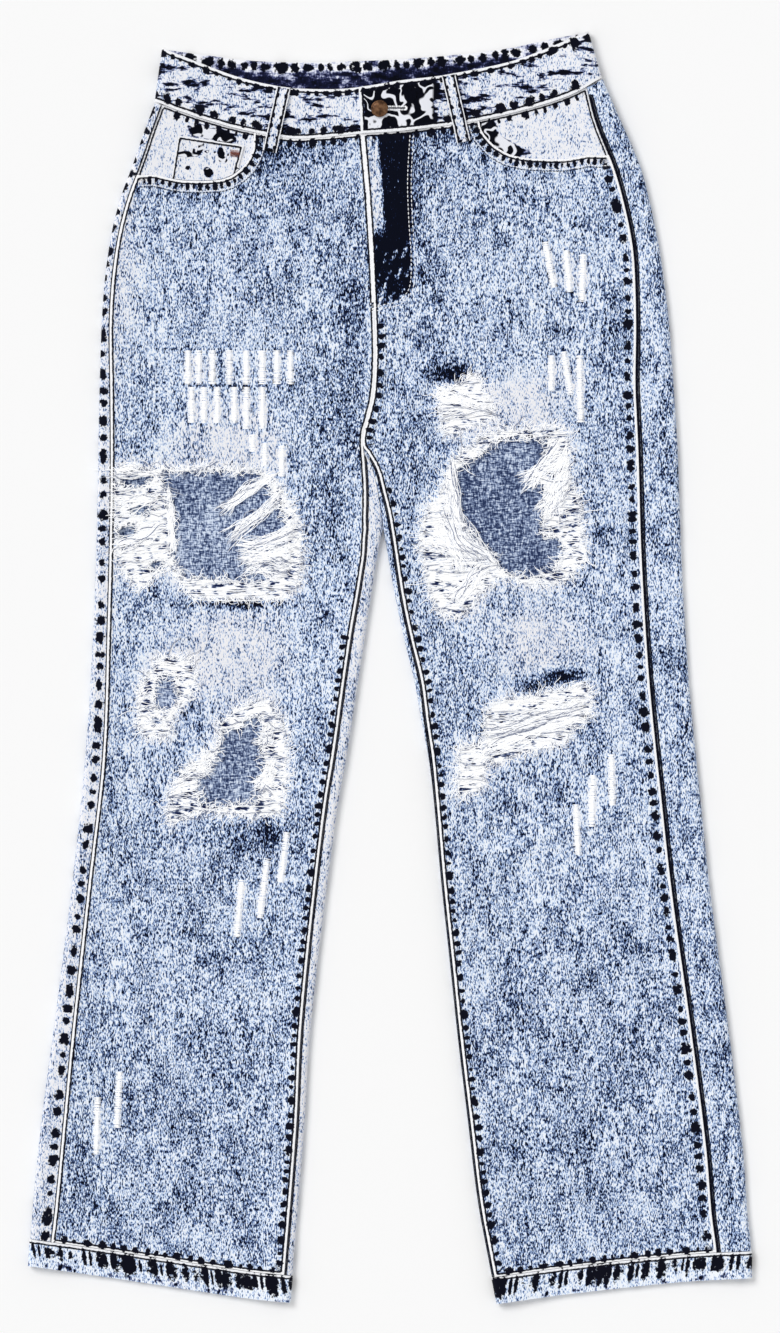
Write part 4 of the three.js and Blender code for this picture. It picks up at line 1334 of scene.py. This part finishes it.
def makeBand():
    across = np.linspace(0, 1, band["rows"])
    turning = np.array([0.0004, 0.001, 0.002, 0.0035, 0.0055, 0.0095])
    end = turning[-1]
    first = np.linspace(bandShare(band["underlapEnd"]), end, 78)
    under = np.concatenate([turning, np.linspace(end, 1 - end, 130)[1:-1], 1 - turning[::-1]])
    last = np.linspace(1 - end, bandShare(band["overlapEnd"]), 90)
    stretches = [
        bandPoints("over", first, across, False), bandPoints("over", turning[::-1][1:], across, False),
        bandPoints("over", np.array([0.0]), across, False), bandPoints("under", under, across, False),
        bandPoints("over", np.array([1.0]), across, True), bandPoints("over", 1 - turning[:-1], across, True),
        bandPoints("over", last, across, True)]
    points = np.concatenate(stretches, 1)[:, ::-1]
    total = points.shape[1]
    frontCount = len(first) + len(turning)
    sheet = gridSheet("waistband_denim", points)
    co = coords(sheet)
    w = np.repeat(across, total)
    length = runOf(points[8, :, :2])
    run = np.tile(length, band["rows"])
    fromBottom, fromTop = band["width"] * w, band["width"] * (1 - w)
    ends = np.minimum(run, length[-1] - run)
    x = co[:, 0]
    isFront = np.tile((np.arange(total) < frontCount) | (np.arange(total) > total - frontCount), band["rows"])
    lower = w < 0.5
    across = np.where(lower, (fromBottom - 1.6) / 7.5, (fromTop - 1.0) / 4.5)
    across = np.where(isFront, across, np.where(lower, 9.0, (fromTop - 0.4) / 8.6))
    along = np.where(isFront, np.where(lower, run / 13, run / 9.5), run / 10.5)
    along = along + 0.2 * np.sin(run * 0.09) + 0.15 * np.sin(run * 0.21)
    edge = np.minimum(np.minimum(fromBottom, fromTop), ends)
    tone = 0.04 * np.ones(len(co))
    dark = smooth((x + 24) / 3) * smooth((42 - x) / 12) * isFront
    tone -= 0.78 * dark
    # painted shadow: the band is darker around each front belt loop, on both sides of it
    for at in (-95, 54):
        tone -= 0.3 * bell((x - at + (w - 0.5) * 10) / 12) * isFront
    pucker = 0.25 * np.sin(run * 2 * np.pi / 15) * bell((np.minimum(fromBottom, fromTop) - 6) / 4)
    co[:, 2] += (0.35 * bell((edge - 2.2) / 1.6) + pucker) * isFront
    setCoords(sheet, co)
    dab = np.where(isFront, 1.1 * (1 - dark * lower), 1.4)
    mark(sheet, tone=tone, edge=edge, along=along, across=across, dab=dab, line=isFront)
    walled(sheet, bandCloth, "band", "denim_pale", "waistband", inside="bandInside")


makeBand()
print("waistband made")


# ---- hems ----
def makeHem(side):
    leg = legs[side]
    inward, hem = leg["inward"], leg["hem"]
    turning = np.array([0.04, 0.12, 0.28, 0.5, 0.75, 1])

    def flatStart(y):
        return leg["outer"](y) + inward * foldRadius

    def flatReach(y):
        return leg["inner"](y) - inward * foldRadius - flatStart(y)

    def half(layerName):
        start = columns(layerName, leg["outer"], lambda y: inward * foldRadius, turning)
        flat = columns(layerName, flatStart, flatReach, np.linspace(0, 1, 110)[1:-1])
        return start + flat + columns(layerName, leg["inner"], lambda y: -inward * foldRadius, turning[::-1])
    outerFold = {"layer": "over", "x": leg["outer"]}
    ring = [outerFold, *half("over"), {"layer": "over", "x": leg["inner"]}, *half("under")[::-1], outerFold]
    ups = np.linspace(0, 1, 13)
    points = []
    for c in ring:
        y = np.full(len(ups), float(leg["hemMiddle"]))
        for _ in range(6):
            y = hem(c["x"](y)) + ups * hemDepth
        x = c["x"](y)
        z, _ = heights(side, x, y, hemLevels)
        points.append(np.stack([x, y, z[c["layer"]]], -1))
    points = np.stack(points, 1)
    run = np.r_[0, np.cumsum(np.linalg.norm(np.diff(points[6], axis=0), axis=1))]
    overCount = 2 + len(half("over"))
    isOver = np.arange(points.shape[1]) < overCount
    # the slanting ropes of a turned hem, dying out at both folds so that the ring closes
    rope = np.sin(run[None, :] * 2 * np.pi / ropePitch + ups[:, None] * 3.4)
    fromFold = np.minimum(run, run[overCount - 1] - run)
    shape = np.abs(np.sin(np.pi * ups))[:, None] ** 0.7 * isOver * smooth(fromFold / 8)
    points[..., 2] += 0.4 * rope * shape
    if side == "left":
        points = points[:, ::-1]
        run = run[::-1]
    sheet = mergePoints(gridSheet(f"hem_{side}_denim", points))
    co = coords(sheet)
    up = (co[:, 1] - hem(co[:, 0])) / hemDepth
    fromTop = hemDepth * (1 - up)
    slant = co[:, 0] + 3.0 * up * inward
    along = slant / ropePitch + 0.5 * np.sin(slant * 0.13) + 0.35 * np.sin(slant * 0.31 + 1)
    tone = 0.15 - 0.35 * bell((fromTop - 20) / 3.5)
    mark(sheet, tone=tone, edge=fromTop, along=along, across=(fromTop - 0.6) / 16, dab=1.25, line=1.0)
    walled(sheet, hemCloth, "hem", "denim_pale", f"hem_{side}")


for side in bothSides:
    makeHem(side)
print("hems made")


# ---- belt loops ----
loops = {
    "front": {"right": ((-99, 423), (-87.5, 475)), "left": ((60, 431), (47.5, 485))},
    "back": {"right": -112, "centre": -14, "left": 88},
    "backTop": 494,
    "backBottom": 449,
}


def strap(name, middle, node):
    # a folded strap along its middle line: a little thicker at both edges, where it is sewn
    middle = np.array(middle, float)
    way = np.gradient(middle[:, :2], axis=0)
    way /= np.hypot(way[:, 0], way[:, 1])[:, None]
    right = np.stack([way[:, 1], -way[:, 0]], -1)
    outwards = np.array([0.25, 0.5, 0.66, 0.82, 0.94, 1])
    offsets = np.r_[-outwards[::-1], 0, outwards] * loopWidth / 2
    points = np.empty((len(middle), len(offsets), 3))
    points[..., :2] = middle[:, None, :2] + right[:, None] * offsets[None, :, None]
    points[..., 2] = middle[:, None, 2] + 0.25 * bell((np.abs(offsets) - 4.2) / 0.9)[None]
    sheet = gridSheet(name, points)
    run = np.r_[0, np.cumsum(np.linalg.norm(np.diff(middle, axis=0), axis=1))]
    inset = np.tile(loopWidth / 2 - np.abs(offsets), len(middle))
    along = np.repeat(run, len(offsets)) / 8.5
    tone = np.repeat(0.3 - 1.8 * bell(run / 3) - 1.0 * bell((run - run[-1]) / 2.5), len(offsets))
    mark(sheet, tone=tone, edge=inset, along=along, across=(inset - 1.0) / 2.6, dab=0.75, line=1.0)
    setMaterials(sheet, finishes["loop"])
    thicken(sheet, loopCloth)
    finished(sheet, "denim_pale", node)


def makeFrontLoop(side):
    (xBottom, yBottom), (xTop, yTop) = loops["front"][side]
    t = np.linspace(0, 1, 40)
    x, y = mix(xBottom, xTop, t), mix(yBottom, yTop, t)
    panel = heights(side, x, y)[0]["over"] + cloth / 2
    onBand = bandLevels["over"] + foldRise * bell((np.abs(x) - 170) / foldReach) + bandCloth / 2
    rise = overlapRise(x) if side == "left" else 0
    z = mix(panel, onBand + loopLift(y) + rise, smooth((t - 0.1) / 0.16))
    z = z + 2 * gap + loopCloth / 2 + 1.2 * np.sin(np.pi * np.clip((t - 0.26) / 0.74, 0, 1))
    strap(f"beltLoop_front_{side}", np.stack([x, y, z], -1), f"belt_loop_front_{side}")


def makeBackLoop(name, x):
    y = np.linspace(loops["backBottom"], loops["backTop"], 30)
    middle = np.stack([np.full(30, x), y, np.full(30, loopCloth / 2)], -1)
    strap(f"beltLoop_back_{name}", middle, f"belt_loop_back_{name}")


for side in bothSides:
    makeFrontLoop(side)
for name, x in loops["back"].items():
    makeBackLoop(name, x)
print("belt loops made")

# ---- the button: a domed cap with a rolled rim, on its collar ----
button = {
    "at": (-9, 458),
    "profile": [
        (4.0, 0.0), (4.0, 0.9), (6.0, 0.9), (6.6, 1.1), (6.95, 1.5), (6.9, 1.95), (6.5, 2.3), (6.1, 2.35),
        (5.8, 2.3), (5.2, 2.55), (4.2, 2.9), (3.0, 3.12), (1.6, 3.26), (0.5, 3.3)],
    "turns": 56,
}


def makeButton():
    x, y = button["at"]
    seat = bandLevels["over"] + bandCloth / 2 + overlapRise(x) + loopLift(y) + gap
    bpy.ops.object.select_all(action="DESELECT")
    bpy.ops.mesh.primitive_circle_add(
        vertices=button["turns"], radius=button["profile"][0][0] * mm, fill_type="NGON",
        location=(x * mm, y * mm, seat * mm))
    piece = bpy.context.object
    bpy.ops.object.transform_apply(location=True)
    bpy.ops.object.mode_set(mode="EDIT")
    bpy.ops.mesh.select_all(action="SELECT")
    centre = (x * mm, y * mm, 0)
    for (r0, z0), (r1, z1) in zip(button["profile"], button["profile"][1:]):
        bpy.ops.mesh.extrude_region_move(TRANSFORM_OT_translate={"value": (0, 0, (z1 - z0) * mm)})
        bpy.ops.transform.resize(value=(r1 / r0, r1 / r0, 1), center_override=centre)
    bpy.ops.mesh.select_all(action="SELECT")
    bpy.ops.mesh.normals_make_consistent(inside=False)
    bpy.ops.object.mode_set(mode="OBJECT")
    bpy.ops.object.shade_smooth_by_angle(angle=math.radians(40))
    piece.name = "button_bronze"
    setMaterials(piece, finishes["bronze"])
    finished(piece, "button", "button")


makeButton()
print("button made")


# ---- threads: thin tubes with three sides, kept as arrays and made into one mesh ----
def tubes(name, paths, radius, finish, flat=0.5, shaded=0.0, nodes=()):
    # each path, an array of points in mm, becomes a tapering tube; shaded is the share of darker ones
    verts, faces = [], []
    count = 0
    corner = np.array([[math.cos(a), math.sin(a)] for a in (math.pi / 2, math.pi * 7 / 6, math.pi * 11 / 6)])
    for path in paths:
        n = len(path)
        way = np.gradient(path, axis=0)
        way /= np.linalg.norm(way, axis=1)[:, None] + 1e-9
        side = np.cross(way, (0, 0, 1.0))
        side /= np.linalg.norm(side, axis=1)[:, None] + 1e-9
        up = np.cross(side, way)
        size = np.full(n, radius)
        size[0] *= 0.5
        size[-1] *= 0.35
        ring = path[:, None] + size[:, None, None] * (
            corner[None, :, :1] * side[:, None] + flat * corner[None, :, 1:] * up[:, None])
        verts.append(ring.reshape(-1, 3))
        base = count + 3 * np.arange(n - 1)
        for k in range(3):
            j = (k + 1) % 3
            faces.append(np.stack([base + k, base + j, base + 3 + j, base + 3 + k], -1))
        count += 3 * n
    verts = np.concatenate(verts) * mm
    quads = np.concatenate(faces)
    ends = []
    at = 0
    for path in paths:
        last = at + 3 * len(path) - 1
        ends += [(at + 2, at + 1, at), (last - 2, last - 1, last)]
        at = last + 1
    mesh = bpy.data.meshes.new(name)
    mesh.from_pydata(verts.tolist(), [], quads.tolist() + ends)
    mesh.update()
    shadow = [(rng.random() < shaded) * rng.uniform(0.5, 1.0) for _ in paths]
    values = np.repeat(shadow, [3 * len(path) for path in paths])
    mesh.attributes.new("shadow", "FLOAT", "POINT").data.foreach_set("value", values.astype(np.float32))
    piece = bpy.data.objects.new(name, mesh)
    bpy.context.collection.objects.link(piece)
    setMaterials(piece, finishes[finish])
    for polygon in mesh.polygons:
        polygon.use_smooth = True
    finished(piece, "threads", *nodes)


def frontTop(side, x, y):
    return overZ(side, x, y) + cloth / 2


def wavyThread(a, b, side, lift, sway, points):
    # a loose thread from a to b over the front or across a hole in it
    t = np.linspace(0, 1, points)
    xy = mix(np.array(a, float)[None], np.array(b, float)[None], t[:, None])
    across = np.array([-(b[1] - a[1]), b[0] - a[0]], float)
    across /= np.hypot(*across) + 1e-9
    bends = rng.normal(0, 1, 3)
    wave = sum(bends[k] * np.sin((k + 1) * np.pi * t) / (k + 1) for k in range(3)) * sway
    xy = xy + wave[:, None] * across
    z = frontTop(side, xy[:, 0], xy[:, 1]) + lift + 0.35 * np.abs(rng.normal(0, 1)) * np.sin(np.pi * t)
    return np.column_stack([xy, z])


def spans(y, polygon):
    # where a level line is inside a closed outline
    a, b = polygon, np.roll(polygon, -1, 0)
    hit = (a[:, 1] > y) != (b[:, 1] > y)
    xs = np.sort(a[hit, 0] + (y - a[hit, 1]) / (b[hit, 1] - a[hit, 1]) * (b[hit, 0] - a[hit, 0]))
    return [(xs[i], xs[i + 1]) for i in range(0, len(xs) - 1, 2)]


def tearThreads(tear):
    side = tear["side"]
    torn = tear["tornLine"]
    paths = []
    low, high = torn[:, 1].min(), torn[:, 1].max()
    y = low + 0.5
    while y < high:
        for x0, x1 in spans(y, torn):
            blocks = [(x0, x1)]
            for line in tear["clearLines"]:
                cut = []
                for c0, c1 in blocks:
                    rest = [(c0, c1)]
                    for h0, h1 in spans(y, line):
                        rest = [piece for r0, r1 in rest for piece in ((r0, min(r1, h0)), (max(r0, h1), r1))
                                if piece[1] - piece[0] > 1.0]
                    cut += rest
                blocks = cut
            for b0, b1 in blocks:
                atLeft, atRight = abs(b0 - x0) < 0.1, abs(b1 - x1) < 0.1
                left = b0 - (rng.uniform(0.5, 2.5) if atLeft else rng.exponential(2.4))
                right = b1 + (rng.uniform(0.5, 2.5) if atRight else rng.exponential(2.4))
                tilt = rng.normal(0, 1.5)
                points = int(np.clip((right - left) / 6, 4, 12))
                paths.append(wavyThread((left, y - tilt), (right, y + tilt), side, rng.uniform(0.0, 0.6),
                                        sway=2.1, points=points + 3))
        y += rng.uniform(0.9, 2.6)
    for line in tear["clearLines"]:
        paths += fringe(line, side)
    paths += fringe(torn, side, every=1.1, outward=True)
    return paths


def fringe(line, side, every=1.5, outward=False):
    # short ends that stand out of the edge of a hole, or that lie outwards over the denim around a tear
    closed = np.vstack([line, line[:1]])
    lengths = runOf(closed)
    centre = line.mean(0)
    paths = []
    for at in np.arange(0, lengths[-1], every):
        at += rng.uniform(-0.5, 0.5)
        x, y = np.interp(at, lengths, closed[:, 0]), np.interp(at, lengths, closed[:, 1])
        inward = centre - (x, y)
        inward /= np.hypot(*inward) + 1e-9
        way = (-0.8 if outward else 0.55) * inward + rng.normal(0, 0.5, 2) * (1.2, 0.6)
        way /= np.hypot(*way) + 1e-9
        reach = rng.gamma(3.0, 1.7)
        if not outward:
            reach = min(reach, 0.4 * np.hypot(*(centre - (x, y))))
        root = (x - 2.5 * way[0], y - 2.5 * way[1])
        end = (x + reach * way[0], y + reach * way[1])
        paths.append(wavyThread(root, end, side, rng.uniform(0, 0.5), sway=1.5, points=7))
    return paths


def fan(a, b, tip, spread, count, side):
    # a bundle of threads from the edge between a and b, drawn together and then flared at its tip
    a, b, tip = np.array(a, float), np.array(b, float), np.array(tip, float)
    middle = (a + b) / 2
    way = (tip - middle) / np.hypot(*(tip - middle))
    across = np.array([-way[1], way[0]])
    paths = []
    for _ in range(count):
        share = rng.uniform(0, 1)
        root = mix(a, b, share) - way * rng.uniform(0, 3)
        off = (share - 0.5) * np.sign(np.dot(b - a, across)) + rng.normal(0, 0.12)
        end = tip + across * off * spread + way * rng.normal(0, 3.0)
        waist = mix(middle, tip, rng.uniform(0.45, 0.65)) + across * off * spread * 0.3
        t = np.linspace(0, 1, 11)[:, None]
        xy = (1 - t) ** 2 * root + 2 * t * (1 - t) * waist + t**2 * end
        bends = rng.normal(0, 1, 3) * (1.6, 1.3, 0.9)
        wave = sum(bends[k] * np.sin((k + 1.5) * np.pi * t) for k in range(3))
        xy = xy + wave * across + rng.normal(0, 0.2, xy.shape)
        z = frontTop(side, xy[:, 0], xy[:, 1]) + rng.uniform(-0.2, 1.1) + 0.3 * np.sin(np.pi * t[:, 0])
        paths.append(np.column_stack([xy, z]))
    return paths


tearCount = 0
for name, tear in tears.items():
    paths = tearThreads(tear)
    for a, b, tip, spread, count in tear.get("fans", []):
        paths += fan(a, b, tip, spread, count, tear["side"])
    tubes(f"threads_{name}", paths, 0.34, "threads", flat=0.4, shaded=0.16, nodes=tear["stands"])
    tearCount += len(paths)
print("tear threads", tearCount)


def makeBars(side):
    paths = []
    for top, bottom in bars[side]:
        top, bottom = np.array(top, float), np.array(bottom, float)
        length = np.hypot(*(bottom - top))
        way = (bottom - top) / length
        across = np.array([-way[1], way[0]])
        for at in np.arange(0, length, bars["pitch"]):
            middle = top + way * at + rng.normal(0, 0.12, 2)
            half = bars["width"] / 2 + rng.normal(0, 0.35)
            a, b = middle - across * half, middle + across * half
            t = np.linspace(0, 1, 3)[:, None]
            xy = mix(a[None], b[None], t)
            z = frontTop(side, xy[:, 0], xy[:, 1]) + np.array([0.05, 0.35, 0.05])
            paths.append(np.column_stack([xy, z]))
    tubes(f"bars_{side}", paths, bars["radius"], "threads")


for side in bothSides:
    makeBars(side)
print("bars made")

# ---- stitches ----
def bandTop(_, x, y):
    # the upper face of the band, which is one piece for both sides
    share = bandShare(x)
    inset = np.minimum(share, 1 - share) * band["flat"]
    overlap = np.where(x > band["overlapEnd"], overlapRise(x), 0)
    return bandLevels["over"] + bandCloth / 2 + loopLift(y) + foldRise * bell(inset / foldReach) + overlap


def hemTop(side, x, y):
    return heights(side, x, y, hemLevels)[0]["over"] + hemCloth / 2 + 0.1


def stitchRow(line, side, pitch=3.5, top=frontTop):
    # stitches laid along a line over the front, or over the piece that top gives
    length = 2.4
    line = np.array(line, float)
    run = runOf(line)
    paths = []
    for at in np.arange(0.5, run[-1] - length, pitch):
        t = at + np.array([0, 0.5, 1]) * length
        x, y = np.interp(t, run, line[:, 0]), np.interp(t, run, line[:, 1])
        z = top(side, x, y) + np.array([0.07, 0.40, 0.07])
        paths.append(np.column_stack([x, y, z]))
    return paths


def shifted(line, by):
    # a line moved sideways to its left
    way = np.gradient(line, axis=0)
    way /= np.hypot(way[:, 0], way[:, 1])[:, None]
    return line + np.stack([-way[:, 1], way[:, 0]], -1) * by


flyCurve = [(19, 437), (17, 400), (18, 367), (20, 335), (18, 310), (8, 298), (-4, 295), (-13, 292)]


def smoothLine(corners, count=80):
    c = np.array(corners, float)
    t = runOf(c)
    at = np.linspace(0, t[-1], count)
    x = through(*zip(t, c[:, 0]))(at)
    y = through(*zip(t, c[:, 1]))(at)
    return np.stack([x, y], -1)


def makeStitches(side):
    inward = legs[side]["inward"]
    ys = np.linspace(-490, 440, 180)
    outseam = np.stack([frontStart(side, ys) + inward * 0.9, ys], -1)
    ys = np.linspace(-505, inseamTop, 140)
    inseam = np.stack([frontInner(side, ys) - inward * 0.9, ys], -1)
    mouth = mouthLine(side)
    turn = 1 if side == "left" else -1
    pale, dark = [], []
    pale += stitchRow(outseam, side) + stitchRow(inseam, side)
    for by, paths in ((0.9, pale), (8.4, pale), (9.7, dark)):
        row = shifted(mouth, -by * turn)
        onPanel = (row[:, 0] - frontStart(side, row[:, 1])) * inward > 1.5
        onPanel &= row[:, 1] < bandBottomFront(row[:, 0]) - 1.5
        paths += stitchRow(row[onPanel], side, 2.7)
    if side == "left":
        fly = smoothLine(flyCurve)
        pale += stitchRow(fly, side) + stitchRow(shifted(fly, -3.0), side)
        ys = np.linspace(182, 434, 90)
        pale += stitchRow(np.stack([centreFront(ys) + 1.1, ys], -1), side)
        ys = np.linspace(182, 286, 40)
        dark += stitchRow(np.stack([centreFront(ys) + 9.0, ys], -1), side)
    for name, paths, finish in (("pale", pale, "stitchPale"), ("dark", dark, "stitchDark")):
        tubes(f"stitches_{name}_{side}", paths, 0.52, finish, flat=0.6)


def makeHemStitches(side):
    xs = np.linspace(-290, -86, 120) if side == "right" else np.linspace(90, 290, 120)
    paths = stitchRow(np.stack([xs, legs[side]["hem"](xs) + hemDepth - 1.0], -1), side, top=hemTop)
    tubes(f"stitches_hem_{side}", paths, 0.5, "stitchPale", flat=0.8)


def makeBandStitches():
    paths = []
    start, stop = band["top"]
    for low, high in ((start, band["overlapEnd"] - 2), (band["overlapEnd"] + 2, stop - 1)):
        xs = np.linspace(low, high, 120)
        paths += stitchRow(np.stack([xs, bandTopFront(xs) - 1.0], -1), "left", top=bandTop)
        paths += stitchRow(np.stack([xs, bandBottomFront(xs) + 1.0], -1), "left", top=bandTop)
    tubes("stitches_band", paths, 0.5, "stitchPale", flat=0.8)


buttonhole = {"y": 458.5, "from": -2.5, "to": 12.0, "reach": 2.2, "pitch": 0.75}


def makeButtonhole():
    # a slit, drawn as a thin dark strip that stands in for the shade in its gap, with close stitches along
    # both lips and round its end
    y0, end = buttonhole["y"], buttonhole["to"]
    reach = np.array([0.45, 1.3, buttonhole["reach"]])
    lift = np.array([0.1, 0.5, 0.1])
    paths = []
    for x in np.arange(buttonhole["from"], end, buttonhole["pitch"]):
        for way in (-1, 1):
            y = y0 + way * reach
            xs = np.full(3, x) + rng.normal(0, 0.1)
            paths.append(np.column_stack([xs, y, bandTop("left", xs, y) + lift]))
    for turn in np.linspace(-1.4, 1.4, 9):
        x, y = end + reach * math.cos(turn), y0 + reach * math.sin(turn)
        paths.append(np.column_stack([x, y, bandTop("left", x, y) + lift]))
    tubes("buttonhole_stitches", paths, 0.36, "stitchPale", flat=0.8)
    # the slit's dark strip is painted shade
    xs = np.linspace(buttonhole["from"], end, 12)
    slit = np.column_stack([xs, np.full(12, y0), bandTop("left", xs, np.full(12, y0)) + 0.1])
    tubes("buttonhole_slit", [slit], 0.7, "stitchDark", flat=0.4)


tack = {"left": -131, "right": -123.5, "bottom": 419, "top": 425, "pitch": 0.7}


def makeTack():
    # the close bar of thread at the corner of the coin pocket
    paths = []
    for x in np.arange(tack["left"], tack["right"], tack["pitch"]):
        y = np.linspace(tack["bottom"], tack["top"], 3) - 0.12 * (x - tack["left"])
        xs = np.full(3, x)
        z = heights("right", xs, y)[0]["over"] + coinPocket["thick"] / 2 + np.array([0.3, 0.65, 0.4])
        paths.append(np.column_stack([xs, y, z]))
    tubes("tack_coinPocket", paths, 0.36, "tack", flat=0.8)


for side in bothSides:
    makeStitches(side)
    makeHemStitches(side)
makeBandStitches()
makeButtonhole()
makeTack()
print("stitches made")

# ---- camera, light and floor ----
# frameHeight is how much of the floor the picture holds from top to bottom, in metres; sensor is in mm
view = {"height": 8.0, "frameHeight": 1.09306, "x": -0.0004, "y": 0.0012, "sensor": 36}
camera = bpy.data.cameras.new("camera")
cameraObject = bpy.data.objects.new("camera", camera)
bpy.context.collection.objects.link(cameraObject)
cameraObject.location = (view["x"], view["y"], view["height"])
camera.sensor_fit = "VERTICAL"
camera.sensor_height = view["sensor"]
camera.lens = view["sensor"] * view["height"] / view["frameHeight"]
camera.clip_end = 40
bpy.context.scene.camera = cameraObject

bpy.ops.mesh.primitive_plane_add(size=14, location=(0, 0, -0.0003))
floor = bpy.context.object
floor.name = "floor"
bpy.ops.object.transform_apply(location=True)
paper = bpy.data.materials.new("paper")
paper.use_nodes = True
paper.node_tree.nodes["Principled BSDF"].inputs["Base Color"].default_value = (0.96, 0.96, 0.96, 1)
paper.node_tree.nodes["Principled BSDF"].inputs["Roughness"].default_value = 0.95
setMaterials(floor, paper)

world = bpy.data.worlds.new("studio")
world.use_nodes = True
world.node_tree.nodes["Background"].inputs["Color"].default_value = (1, 1, 1, 1)
world.node_tree.nodes["Background"].inputs["Strength"].default_value = 0.62
bpy.context.scene.world = world
bpy.ops.object.light_add(type="SUN", location=(-1.2, 1.0, 2.2))
sun = bpy.context.object
sun.name = "softSun"
sun.data.energy = 1.55
sun.data.angle = math.radians(28)
sun.rotation_euler = (math.radians(-24), math.radians(-34), 0)
bpy.context.scene.view_settings.view_transform = "Standard"
bpy.context.scene.view_settings.look = "None"
